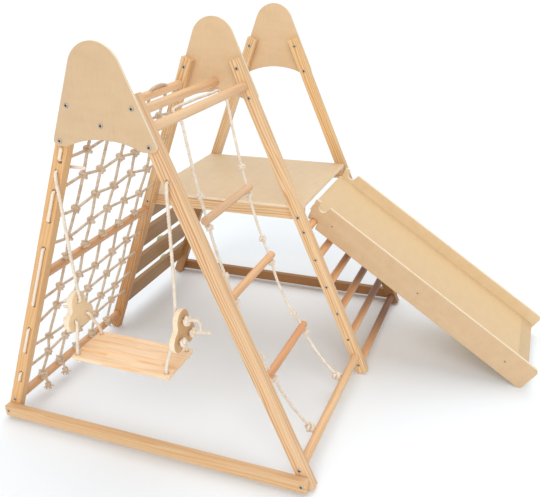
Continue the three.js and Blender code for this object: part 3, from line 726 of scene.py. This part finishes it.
def panel_loop():
    """Flush with the legs' outer edges, with a dome tangent to both and a low arch below."""
    half = LEG_HALF / math.cos(LEAN)
    dome_z = (HEIGHT - (FLOOR_X + half) * math.cos(LEAN)) / (1 - math.sin(LEAN))
    corner_z = PANEL_FOOT + PANEL_CORNER
    corner_x = leg_x(corner_z) + half - PANEL_CORNER / math.cos(LEAN)
    arch = (ARCH_HALF**2 + ARCH_RISE**2) / (2 * ARCH_RISE)
    spread = math.asin(ARCH_HALF / arch)
    loop = arc(corner_x, corner_z, PANEL_CORNER, -math.pi / 2, LEAN, 10)
    loop += arc(0, dome_z, HEIGHT - dome_z, LEAN, math.pi - LEAN, 48)
    loop += arc(-corner_x, corner_z, PANEL_CORNER, math.pi - LEAN, 1.5 * math.pi, 10)
    loop += arc(0, PANEL_FOOT + ARCH_RISE - arch, arch, math.pi / 2 + spread, math.pi / 2 - spread, 24)
    return loop


PANEL_HALF = PANEL_THICK / 2
PANELS = {
    "a": (-FIT - PANEL_HALF, 1.0),
    "b": (LEG_B_BACK + FIT + PANEL_HALF, 1.10),
    "c": (LEG_C_BACK + FIT + PANEL_HALF, 1.10),
}
for letter, (y, light) in PANELS.items():
    name = f"top_panel_{letter}_shaped"
    mesh = plate_mesh(name, [panel_loop()], PANEL_THICK, 1.1, PANEL_AXES, at(0, y, 0))
    start = at(0, y - PANEL_HALF, 0).y
    pale = scaled(BIRCH_PALE, light)
    deep = scaled(BIRCH_DEEP, light)
    seed = 3.7 * ord(letter) % 11
    look = plywood(f"ply_panel_{letter}", Vector((0.12, 0, 1)), ALONG_Y, seed, pale, deep, 0.0013, start)
    piece(name, mesh, look, "frame", [f"top_panel_{letter}"])


# ---- Slide sides ----
HOOK_Z = RUNG_ZS[-1]
HOOK_X = leg_x(HOOK_Z)
HOOK_RADIUS = 15.6
SLIDE_AXES = (DOWN_SLIDE, OFF_SLIDE, FRONT)
SLIDE_THICK = 12
SLIDE_LOW = -16
SLIDE_HIGH = 83
SLIDE_END = 912
SLIDE_CORNER = 16


def slide_loop():
    """One side of the slide, measured from the hook rung's axis, with a notch below and its twin above."""
    quarter = math.pi / 2
    corner_x = SLIDE_END - SLIDE_CORNER
    loop = [(20, SLIDE_LOW)]
    loop += arc(corner_x, SLIDE_LOW + SLIDE_CORNER, SLIDE_CORNER, -quarter, 0, 12)
    loop += arc(corner_x, SLIDE_HIGH - SLIDE_CORNER, SLIDE_CORNER, 0, quarter, 12)
    loop += [(20, SLIDE_HIGH)]
    loop += arc(0, SLIDE_LOW + SLIDE_HIGH, HOOK_RADIUS, 0, -math.pi, 24)
    loop += [(-18.6, SLIDE_HIGH - 3), (-34, SLIDE_HIGH - 3), (-38, SLIDE_HIGH - 8), (-26, 6), (-20.6, 1)]
    loop += arc(0, 0, HOOK_RADIUS, math.pi, 0, 24)
    return loop


SLIDE_SIDES = {"near": (703, (1.0, 1.0, 1.0)), "far": (1081, (1.12, 1.22, 1.26))}
for where, (y, tone) in SLIDE_SIDES.items():
    name = f"slide_side_{where}_shaped"
    mesh = plate_mesh(name, [slide_loop()], SLIDE_THICK, 1.2, SLIDE_AXES, at(HOOK_X, y, HOOK_Z))
    start = at(0, y - SLIDE_THICK / 2, 0).y
    pale = toned(BIRCH_PALE, tone)
    deep = toned(BIRCH_DEEP, tone)
    look = plywood(f"ply_slide_{where}", DOWN_SLIDE, ALONG_Y, 6.1 + y / 100, pale, deep, start=start)
    piece(name, mesh, look, "slide", [f"slide_side_{where}"])


# ---- Swing ----
SWING_Y = -8
PLATE_X = 170
PLATE_Z = 469
PLATE_THICK = 18
PLATE_HOLES = [(0, 28), (-27, -24), (27, -24)]
PLATE_LOBE = 31
PLATE_HOLLOW = 20
SEAT_X = 159
SEAT_Y = 72
SEAT_TOP = 359
SEAT_THICK = 13
SEAT_HOLE = (SEAT_X - 14, SEAT_Y - 14)
SEAT_HOLE_RADIUS = 6.2
PLATE_HOLE_RADIUS = 6.1


def rounded(x, y, corner):
    """A rectangle of half sizes x and y with round corners."""
    quarter = math.pi / 2
    x -= corner
    y -= corner
    loop = []
    for turn, (sx, sy) in enumerate(((1, -1), (1, 1), (-1, 1), (-1, -1))):
        loop += arc(sx * x, sy * y, corner, (turn - 1) * quarter, turn * quarter, 8)
    return loop


def swing_seat():
    loops = [rounded(SEAT_X, SEAT_Y, 6)]
    for sx in (-1, 1):
        for sy in (-1, 1):
            loops.append(circle(sx * SEAT_HOLE[0], sy * SEAT_HOLE[1], SEAT_HOLE_RADIUS))
    centre = at(0, SWING_Y, SEAT_TOP - SEAT_THICK / 2)
    axes = (ALONG_X, ALONG_Y, ALONG_Z)
    mesh = plate_mesh("swing_seat_board", loops, SEAT_THICK, 3, axes, centre)
    piece("swing_seat_board", mesh, seat_material(), "swing", ["swing_seat"])


swing_seat()


def trefoil_loop():
    """A round lobe about each rope hole and a hollow between each two, tangent to both."""
    centres = [Vector(hole) for hole in PLATE_HOLES]
    hollows = []
    for here, there in zip(centres, centres[1:] + centres[:1]):
        half = (there - here) / 2
        outward = Vector((half.y, -half.x)).normalized()
        reach = math.sqrt((PLATE_LOBE + PLATE_HOLLOW) ** 2 - half.length_squared)
        hollows.append(here + half + outward * reach)
    loop = []
    for i, centre in enumerate(centres):
        before = hollows[i - 1] - centre
        after = hollows[i] - centre
        start = math.atan2(before.y, before.x)
        sweep = (math.atan2(after.y, after.x) - start) % (2 * math.pi)
        loop += arc(centre.x, centre.y, PLATE_LOBE, start, start + sweep, 28)
        following = centres[(i + 1) % 3] - hollows[i]
        start = math.atan2(-after.y, -after.x)
        sweep = (math.atan2(following.y, following.x) - start) % (2 * math.pi) - 2 * math.pi
        loop += arc(hollows[i].x, hollows[i].y, PLATE_HOLLOW, start, start + sweep, 14)[1:-1]
    return loop


PLATE_TONES = {
    "left": ((0.90, 0.70, 0.45), (0.78, 0.56, 0.32)),
    "right": ((0.665, 0.410, 0.200), (0.555, 0.320, 0.145)),
}
SWING_ROPE = 0.0052
# The size, the thickness of the strand and, for some, the stretch of each kind of knot.
ANCHOR_KNOT = (0.0110, 0.0046)
PLATE_KNOT = (0.0158, 0.0059)
SEAT_KNOT = (0.0105, 0.0040, 0.4)
ANCHOR_Z = 882
ANCHOR_REACH = {"left": 58, "right": 6}
ROPE_TURN = 6
KNOT_GAP = 11
TOP_TAIL = [(12, 5), (25, 8), (36, 5), (40.5, -5), (40, -21)]
BACK_TAIL = [(16, 3), (34, 6), (56, 7)]


def swing_plate(where, side):
    name = f"swing_plate_{where}"
    loops = [trefoil_loop()] + [circle(y, z, PLATE_HOLE_RADIUS) for y, z in PLATE_HOLES]
    centre = at(side * PLATE_X, SWING_Y, PLATE_Z)
    axes = (ALONG_Y, ALONG_Z, ALONG_X)
    mesh = plate_mesh(name, loops, PLATE_THICK, 2.6, axes, centre)
    start = at(side * PLATE_X - PLATE_THICK / 2, 0, 0).x
    grain = Vector((0, 0.1, 1))
    look = plywood(f"ply_swing_{where}", grain, ALONG_X, 4.4 * side, *PLATE_TONES[where], start=start)
    piece(name, mesh, look, "swing", [f"swing_side_{where}"])


def plate_sides(side):
    """Where a rope turns on the inner side of a plate, and where its knot sits on the outer side."""
    half = PLATE_THICK / 2
    return side * (PLATE_X - half - ROPE_TURN), side * (PLATE_X + half + KNOT_GAP)


def swing_rope(where, side):
    """The rope from its knot behind the leg, down to the plate's top hole and its tail."""
    inner, outer = plate_sides(side)
    hole_x = side * leg_x(ANCHOR_Z)
    knot = at(hole_x, 42, ANCHOR_Z)
    top_z = PLATE_Z + PLATE_HOLES[0][1]
    reach = ANCHOR_REACH[where]
    points = [at(hole_x + reach, 47, ANCHOR_Z - 1), at(hole_x + 0.6 * reach, 46, ANCHOR_Z), knot]
    points += [at(hole_x, y, ANCHOR_Z) for y in (28, 4)]
    points += [at(hole_x + 0.6, -5.5, 879), at(hole_x + 1.6, -9, 868), at(side * 167, -8.4, 850)]
    falls = ((166, 815), (163.4, 700), (161, 600))
    points += [at(side * x, SWING_Y, z) for x, z in falls]
    turns = ((inner + side * 1.5, 26), (inner, 7), (inner + side * 2.5, 1), (side * (PLATE_X - 6), 0))
    points += [at(x, SWING_Y, top_z + up) for x, up in (*turns, (outer, 0))]
    if side > 0:
        points += [at(outer + along, -9, top_z + up) for along, up in TOP_TAIL]
    else:
        points += [at(outer - 14, -9, top_z - 1), at(outer - 24, -9, top_z - 8)]
    built = bmesh.new()
    laid_rope(built, points, SWING_ROPE)
    tied(built, knot, ALONG_Y, *ANCHOR_KNOT)
    tied(built, at(outer, SWING_Y, top_z), ALONG_X, *PLATE_KNOT)
    rope = piece(
        f"swing_rope_{where}_laid", soft_mesh("rope", built), ROPE, None,
        [f"swing_anchor_{where}", f"swing_rope_{where}"],
    )
    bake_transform(rope)


def seat_rope(where, side, part, hole):
    """A short rope from a plate's lower hole to a corner of the seat, with a stopper knot below it."""
    inner, outer = plate_sides(side)
    sign = math.copysign(1, hole[0])
    y = SWING_Y + hole[0]
    z = PLATE_Z + hole[1]
    seat_x = side * SEAT_HOLE[0]
    seat_y = SWING_Y + sign * SEAT_HOLE[1]
    under = SEAT_TOP - SEAT_THICK
    points = [at(outer + side * 6, y, z)]
    if part == "back":
        points = [at(outer + side * along, y + 2, z + up) for along, up in reversed(BACK_TAIL)]
    points += [at(outer, y, z), at(side * (PLATE_X - 5), y, z)]
    points += [at(inner + side * 3, y + sign * 0.5, z - 0.5), at(inner - side * 1.0, y + sign * 4, z - 7)]
    points += [at(inner - side * 3.5, y + sign * 13, z - 30)]
    points += [at(seat_x + side * 1.0, seat_y - sign * 4, SEAT_TOP + 24), at(seat_x, seat_y, SEAT_TOP + 6)]
    points += [at(seat_x, seat_y, under - 2), at(seat_x, seat_y, under - 9)]
    built = bmesh.new()
    laid_rope(built, points, SWING_ROPE)
    tied(built, at(outer, y, z), ALONG_X, *PLATE_KNOT)
    tied(built, at(seat_x, seat_y, under - 6.5), ALONG_Z, *SEAT_KNOT)
    name = f"seat_rope_{part}_{where}"
    piece(name + "_laid", soft_mesh("rope", built), ROPE, "swing", [name])


for where, side in SIDES:
    swing_plate(where, side)
    swing_rope(where, side)
    seat_rope(where, side, "front", PLATE_HOLES[1])
    seat_rope(where, side, "back", PLATE_HOLES[2])


# ---- Rope ladder ----
LADDER_TILT = math.radians(40)
LADDER_ROPE = 0.0049
LADDER_SAGS = (3, 6, 15, 11)
LADDER_LIFTS = (0.070, 0.063, 0.053)
UNDER_RUNG = 0.0235
RUNG_KNOT = (0.0136, 0.0050, 1.7)


def bar_line(y, reach):
    """A point on the slanting hole through the right monkey bar, so far above the bar's axis."""
    return at(leg_x(MONKEY_Z) - reach * math.sin(LADDER_TILT), y, MONKEY_Z + reach * math.cos(LADDER_TILT))


def ladder_fall(y):
    """The stretches of one side of the rope ladder, each a list of points from one rung to the next."""
    low_x = leg_x(LOW_Z)
    stops = [(leg_x(MONKEY_Z) + 13.5, MONKEY_Z - 24), *LADDER_RUNGS, (low_x - 22, LOW_Z + 20)]
    stretches = []
    for (x0, z0), (x1, z1), sag in zip(stops, stops[1:], LADDER_SAGS):
        across = Vector((z1 - z0, 0, x0 - x1)).normalized() * sag
        stretch = []
        for share in (0.2, 0.4, 0.6, 0.8, 1.0):
            bend = 4 * share * (1 - share)
            place = Vector((x0 + (x1 - x0) * share, y, z0 + (z1 - z0) * share)) + across * bend
            stretch.append(at(*place))
        stretches.append(stretch)
    return stretches


def ladder():
    """Both sides of the rope ladder, with a knot above and below each rung, and the stretch along the bar."""
    built = bmesh.new()
    low_x = leg_x(LOW_Z)
    for y in (LADDER_FRONT, LADDER_BACK):
        points = [bar_line(y, 17), bar_line(y, 8), bar_line(y, -14)]
        points.append(bar_line(y, -20) - Vector((0.001, 0, 0.002)))
        stretches = ladder_fall(y)
        for stretch in stretches:
            points += stretch
        points += [at(low_x - 17, y + 2, LOW_Z + 11), at(low_x - 9, y + 3, LOW_Z + 5)]
        laid_rope(built, points, LADDER_ROPE)
        for (x, z), lift, above, below in zip(LADDER_RUNGS, LADDER_LIFTS, stretches, stretches[1:]):
            rung = at(x, y, z)
            for neighbour, gap in ((above[-2], lift), (below[0], UNDER_RUNG)):
                direction = (neighbour - rung).normalized()
                tied(built, rung + direction * gap, direction, *RUNG_KNOT)
        tied(built, at(low_x - 24, y - 3, LOW_Z + 22), (0.7, 0.2, -0.7), 0.0182, 0.0054, 1.5)
        tied(built, at(low_x - 20, y + 6, LOW_Z + 13), (1, -0.3, 0.2), 0.0165, 0.0054, 1.4)
    crown = [bar_line(LADDER_FRONT, 14), bar_line(LADDER_FRONT + 4, 21), bar_line(LADDER_FRONT + 26, 24)]
    crown += [bar_line(240, 24.5), bar_line(320, 24), bar_line(LADDER_BACK - 40, 21)]
    crown += [bar_line(LADDER_BACK - 7, 21), bar_line(LADDER_BACK, 14)]
    laid_rope(built, crown, LADDER_ROPE)
    piece(
        "rope_ladder_laid", soft_mesh("rope", built), ROPE, "frame",
        ["ladder_rope", "ladder_tie_front", "ladder_tie_back"],
    )


ladder()


# ---- Climbing net ----
NET_ROWS = [911, 824, 734, 646, 450, 360, 270, 183]
NET_COLUMNS = [123, 217, 311, 407, 507]
NET_RADIUS = 0.0052
NET_KNOT = 0.0170
NET_STRAND = 0.0057
CROSSING_AXIS = (0.2, 1, 0.5)
COLUMN_AXIS = (0.3, 0.2, 1)
# How far a crossing strays from the even grid, at most, up or down and to the sides.
STRAY_Z = 30
STRAY_Y = 18
# The first columns end in frayed tufts.
FRAYED = 2
# The rope's centre line where it runs along the outer faces of the two legs.
LACE_A = -5.1
LACE_B = LEG_B_BACK + 5.1


def net_x(z):
    """The net hangs a little inside the middle of the left legs."""
    return -(leg_x(z) - 5)


def net_at(y, z, inward=0.0):
    return at(net_x(z) + inward, y, z)


def crossing(row, column):
    """Where two ropes of the net are tied, a little off the even grid."""
    z = NET_ROWS[row] + STRAY_Z * noise.noise(Vector((row * 2.3, column * 1.7, 0.4)))
    y = NET_COLUMNS[column] + STRAY_Y * noise.noise(Vector((row * 1.9, column * 2.9, 5.1)))
    return y, z


def net_rope(built, path):
    laid_rope(built, path, NET_RADIUS, 0.0036, 9)


def net_knot(built, place, axis, stretch, size=NET_KNOT, strand=NET_STRAND):
    tied(built, place, axis, size, strand, stretch, 48, 8)


def net_lacing(built):
    """The one rope of all the rows, laced through the holes of the two legs."""
    path = [net_at(LACE_A, 949), net_at(LACE_A, 932), net_at(LACE_A + 0.8, 918)]
    for row, z in enumerate(NET_ROWS):
        inside = [(18, z), (40, z)]
        inside += [crossing(row, column) for column in range(len(NET_COLUMNS))]
        inside += [(592, z), (612, z)]
        toward_b = row % 2 == 0
        if not toward_b:
            inside.reverse()
        path += [net_at(y, h) for y, h in inside]
        if row + 1 < len(NET_ROWS):
            face = LACE_B if toward_b else LACE_A
            below = NET_ROWS[row + 1]
            path += [net_at(face, h) for h in (z - 4, z - 14, (z + below) / 2, below + 14, below + 4)]
    path += [net_at(LACE_A, NET_ROWS[-1] - drop) for drop in (4, 12, 22, 30)]
    net_rope(built, path)


def column_fall(column):
    """The points of one upright rope, from the monkey bar down to the bottom dowel."""
    y = NET_COLUMNS[column]
    points = [net_at(y, MONKEY_Z + 8), net_at(y, MONKEY_Z - 22)]
    points += [net_at(cy, h, -0.6) for cy, h in (crossing(row, column) for row in range(4))]
    points += [net_at(y, MIDDLE_Z + 24), net_at(y, MIDDLE_Z - 24)]
    points += [net_at(cy, h, -0.6) for cy, h in (crossing(row, column) for row in range(4, 8))]
    points += [net_at(y, LOW_Z + 34), net_at(y, LOW_Z + 22)]
    return points


def bar_arch(first, second):
    """The stretch that runs along the top of the monkey bar, from one upright rope to the next."""
    top = MONKEY_Z + DOWEL + 4.6
    shape = ((4, -4), (14, -1), (36, 2), (64, 2), (86, -1), (96, -4))
    span = (second - first) / 100
    return [at(net_x(MONKEY_Z) + 2, first + share * span, top + lift) for share, lift in shape]


def tuft(built, place):
    """The loosened strands at a rope's end."""
    for i in range(9):
        turn = 2 * math.pi * i / 9
        spread = 0.0175 if i % 2 else 0.0115
        side = Vector((math.cos(turn), math.sin(turn), 0)) * spread
        drop = Vector((0, 0, -0.015 - 0.003 * math.cos(2.3 * i)))
        laid_rope(built, [place, place + side * 0.35 + drop * 0.45, place + side + drop], 0.0029, 0.003, 6)


def column_foot(built, column, y):
    """The knots at the bottom dowel and the tail that hangs from them, frayed on the first columns."""
    low_x = -leg_x(LOW_Z)
    net_knot(built, net_at(y, LOW_Z + 27), COLUMN_AXIS, 1.3, 0.0178)
    net_knot(built, at(low_x + 14, y + 5, LOW_Z + 15), (1, 0.3, 0.4), 1.2)
    drop = 24 if column < FRAYED else 8
    tail = [net_at(y, LOW_Z + 22), at(low_x + 15, y + 3, LOW_Z + 15), at(low_x + 20, y + 7, LOW_Z + 3)]
    tail += [at(low_x + 21, y + 9, LOW_Z - drop * 0.5), at(low_x + 22, y + 10, LOW_Z - drop)]
    net_rope(built, tail)
    if column < FRAYED:
        net_knot(built, tail[-1], ALONG_Z, 1.0, 0.0120, 0.0044)
        tuft(built, tail[-1])


def net():
    """The lacing, one single column, and two ropes that each go over the bar and make two columns."""
    built = bmesh.new()
    net_lacing(built)
    for first in (1, 3):
        arch = bar_arch(NET_COLUMNS[first], NET_COLUMNS[first + 1])
        net_rope(built, column_fall(first)[::-1] + arch + column_fall(first + 1))
    net_rope(built, [net_at(NET_COLUMNS[0], MONKEY_Z + 34)] + column_fall(0))
    net_knot(built, net_at(NET_COLUMNS[0], MONKEY_Z + 24), COLUMN_AXIS, 1.2)
    for column, y in enumerate(NET_COLUMNS):
        for row in range(len(NET_ROWS)):
            net_knot(built, net_at(*crossing(row, column)), CROSSING_AXIS, 1.1)
        net_knot(built, net_at(y, MIDDLE_Z + 24), COLUMN_AXIS, 1.2)
        column_foot(built, column, y)
    piece("climbing_net_laid", soft_mesh("rope", built), NET_ROPE, "frame", ["climbing_net"])


def paint_hole_shadows():
    """Painted shadow in the lacing holes of leg A left: a thin dark ring on its front face round each hole,
    in place of the shaded gap round the rope.
    """
    built = bmesh.new()
    for z in (*NET_ROWS, NET_ROWS[-1] - 32):
        rings = []
        for radius, y in ((0.0053, -0.1), (0.0053, -0.6), (0.0065, -0.6), (0.0065, -0.1)):
            rings.append(ring(built, net_at(y, z), ALONG_X, ALONG_Z, 28, lambda angle: radius))
        skin(built, rings + rings[:1])
    # Painted shadow: the dark ring stands in for the shade inside each hole.
    look = Shader("painted_hole_shadow", 0.8).finish((0.085, 0.045, 0.022, 1))
    piece("lacing_hole_shadows", soft_mesh("rims", built), look, "frame")


net()
paint_hole_shadows()


# ---- Bolts and screws ----
HEAD_SIDES = 36
# The radius and the height of each kind of head.
BOLT = (0.0066, 0.0024)
RUNG_BOLT = (0.0060, 0.0018)
SCREW = (0.0036, 0.0010)
# One rung's bolt is drawn as a small head painted all over in the socket's dark colour: painted shade where
# only a dark hole shows.
SHADED_HOLE_BOLT = (0.0036, 0.0018)
SHADED_HOLE_RUNG = 1
SOCKET_SHARE = 0.56


def hexagon(angle):
    """The distance to a hexagon's edge at an angle, where its corners are at 1."""
    return math.cos(math.pi / 6) / math.cos((angle + math.pi / 6) % (math.pi / 3) - math.pi / 6)


def bolt_mesh(name, radius, height):
    """A low domed head with a six-sided socket, standing on the XY plane."""
    profile = [(1, -0.0002), (1, height * 0.35), (0.93, height * 0.72), (0.74, height * 0.96), (0.60, height)]
    socket = radius * SOCKET_SHARE
    built = bmesh.new()

    def level(z, reach):
        return ring(built, ALONG_Z * z, ALONG_X, ALONG_Y, HEAD_SIDES, reach)

    rings = [level(z, lambda angle: radius * share) for share, z in profile]
    rings += [level(z, lambda angle: socket * hexagon(angle)) for z in (height, height * 0.25)]
    capped(built, rings)
    return edged_mesh(name, built, 40)


def place_bolt(name, spot, facing, size=BOLT, body="frame", replaces=()):
    """A bolt, nut or screw. The socket's faces, which are the last ones of its mesh, are dark."""
    mesh = bolt_mesh(name, *size)
    turn = ALONG_Z.rotation_difference(facing).to_matrix().to_4x4()
    mesh.transform(Matrix.Translation(spot) @ turn)
    made = piece(name, mesh, STEEL, body, replaces)
    mesh.materials.append(SOCKET)
    for face in mesh.polygons[-HEAD_SIDES - 1:]:
        face.material_index = 1
    return made


PANEL_OUT = PANEL_THICK + FIT
PANEL_FACES = (
    ("bolt", FRONT, {"a": -PANEL_OUT, "b": LEG_B_Y, "c": LEG_C_Y}),
    ("nut", BACK, {"a": LEG_DEPTH, "b": LEG_B_BACK + PANEL_OUT, "c": LEG_C_BACK + PANEL_OUT}),
)
APRON_Z = 577
BASE_Z = 35
BASE_OUT = 25 + FIT
place_bolt("bolt_panel_a_centre", at(0, -PANEL_OUT, 1015), FRONT)
for where, side in SIDES:
    for z in (1061, 969):
        x = side * leg_x(z)
        for kind, facing, faces in PANEL_FACES:
            for letter, y in faces.items():
                place_bolt(f"{kind}_panel_{letter}_{where}_{z}", at(x, y, z), facing)
    apron = side * leg_x(APRON_Z)
    place_bolt(f"bolt_apron_front_{where}", at(apron, LEG_B_Y, APRON_Z), FRONT)
    place_bolt(f"bolt_apron_back_{where}", at(apron, LEG_C_BACK, APRON_Z), BACK)
    low = side * leg_x(LOW_Z)
    place_bolt(f"bolt_low_dowel_a_{where}", at(low, 0, LOW_Z), FRONT)
    place_bolt(f"bolt_low_dowel_b_{where}", at(low, LEG_B_BACK, LOW_Z), BACK)
    foot = side * leg_x(BASE_Z)
    bars = (("a", -BASE_OUT, FRONT), ("c", LEG_C_BACK + BASE_OUT, BACK))
    for letter, y, facing in bars:
        node = f"base_bolt_{letter}_{where}"
        place_bolt(f"bolt_base_{letter}_{where}", at(foot, y, BASE_Z), facing, replaces=[node])
for index, z in enumerate(RUNG_ZS):
    size = SHADED_HOLE_BOLT if index == SHADED_HOLE_RUNG else RUNG_BOLT
    bolt = place_bolt(f"bolt_rung_front_{index + 1}", at(leg_x(z), LEG_B_Y, z), FRONT, size)
    # Painted shade: this bolt's whole head takes the socket's dark shadow colour.
    if index == SHADED_HOLE_RUNG:
        bolt.data.materials[0] = SOCKET
    place_bolt(f"bolt_rung_back_{index + 1}", at(leg_x(z), LEG_C_BACK, z), BACK, RUNG_BOLT)


def slide_point(along, up, y):
    """A place on the slide, down its slope and square off it from the hook rung's axis."""
    return at(HOOK_X, y, HOOK_Z) + (DOWN_SLIDE * along + OFF_SLIDE * up) / 1000


SLIDE_NEAR = SLIDE_SIDES["near"][0] - SLIDE_THICK / 2
SLIDE_FAR = SLIDE_SIDES["far"][0] + SLIDE_THICK / 2
for index, along in enumerate((62, 434, 808)):
    place_bolt(f"screw_slide_near_{index + 1}", slide_point(along, 34, SLIDE_NEAR), FRONT, SCREW, "slide")
    place_bolt(f"screw_slide_far_{index + 1}", slide_point(along, 34, SLIDE_FAR), BACK, SCREW, "slide")


# ---- Climbing holds ----
HOLDS = [(132, 990), (272, 890), (390, 770), (388, 1050)]
HOLD_TONES = ((0.42, 0.56, 0.22), (0.46, 0.58, 0.24), (0.44, 0.60, 0.26), (0.40, 0.52, 0.22))
HOLD_RADIUS = 0.0285
HOLD_HEIGHT = 0.030


def add_hold(index, z, y):
    """A lumpy resin grip, round at its base, with a lip to curl the fingers over."""
    up = OFF_BOARDS.cross(ALONG_Y)
    base = at(-leg_x(z), y, z) + OFF_BOARDS * (LEG_HALF + FIT) / 1000
    built = bmesh.new()
    bmesh.ops.create_uvsphere(built, u_segments=40, v_segments=24, radius=1)
    for vertex in built.verts:
        p = vertex.co.copy()
        height = max(p.z, 0)
        lump = 1 + 0.10 * noise.noise(p * 1.6 + Vector((index * 3.1, 0, 0)))
        lip = 1 + 0.16 * math.exp(-(((height - 0.45) / 0.25) ** 2)) * (0.6 + 0.4 * p.y)
        flat = HOLD_RADIUS * min(lump * lip, 1.14)
        dent = 0.82 - 0.20 * math.exp(-(p.x**2 + p.y**2) * 9)
        rise = height * HOLD_HEIGHT * dent * lump
        vertex.co = base + ALONG_Y * (p.x * flat) + up * (p.y * flat * 0.86) + OFF_BOARDS * rise
    face_out(built)
    for face in built.faces:
        face.smooth = True
    mesh = mesh_of(f"hold_{index}", built)
    look = hold_material(f"resin_{index}", HOLD_TONES[index], index * 2.2)
    piece(f"climbing_hold_{index + 1}_grip", mesh, look, "frame", [f"climbing_hold_{index + 1}"])


for index, (z, y) in enumerate(HOLDS):
    add_hold(index, z, y)


# ---- Floor and light ----
FLOOR_REACH = 60


def set_floor():
    mesh = bpy.data.meshes.new("floor")
    corners = [(x * FLOOR_REACH, y * FLOOR_REACH, 0) for x, y in ((-1, -1), (1, -1), (1, 1), (-1, 1))]
    mesh.from_pydata(corners, [], [(0, 1, 2, 3)])
    floor = added("floor", mesh)
    s = Shader("floor", 0.9)
    s.bsdf.inputs["Specular IOR Level"].default_value = 0.15
    mesh.materials.append(s.finish((0.892, 0.93, 0.963, 1)))


def set_sun(name, energy, spread, elevation, azimuth):
    """A broad, soft sun; its angles are in degrees."""
    light = bpy.data.lights.new(name, "SUN")
    light.energy = energy
    light.angle = math.radians(spread)
    holder = added(name, light)
    high = math.radians(elevation)
    turn = math.radians(azimuth)
    source = Vector((math.cos(high) * math.cos(turn), math.cos(high) * math.sin(turn), math.sin(high)))
    holder.rotation_euler = source.to_track_quat("Z", "Y").to_euler()


def set_world():
    world = bpy.data.worlds.new("world")
    world.use_nodes = True
    background = world.node_tree.nodes["Background"]
    background.inputs[0].default_value = (0.975, 0.99, 1.0, 1)
    background.inputs[1].default_value = 0.53
    bpy.context.scene.world = world
    bpy.context.scene.view_settings.view_transform = "Standard"


set_floor()
set_sun("key_light", 1.50, 50, 30, -72)
set_sun("top_light", 1.4, 70, 66, 95)
set_world()

bpy.context.view_layer.update()
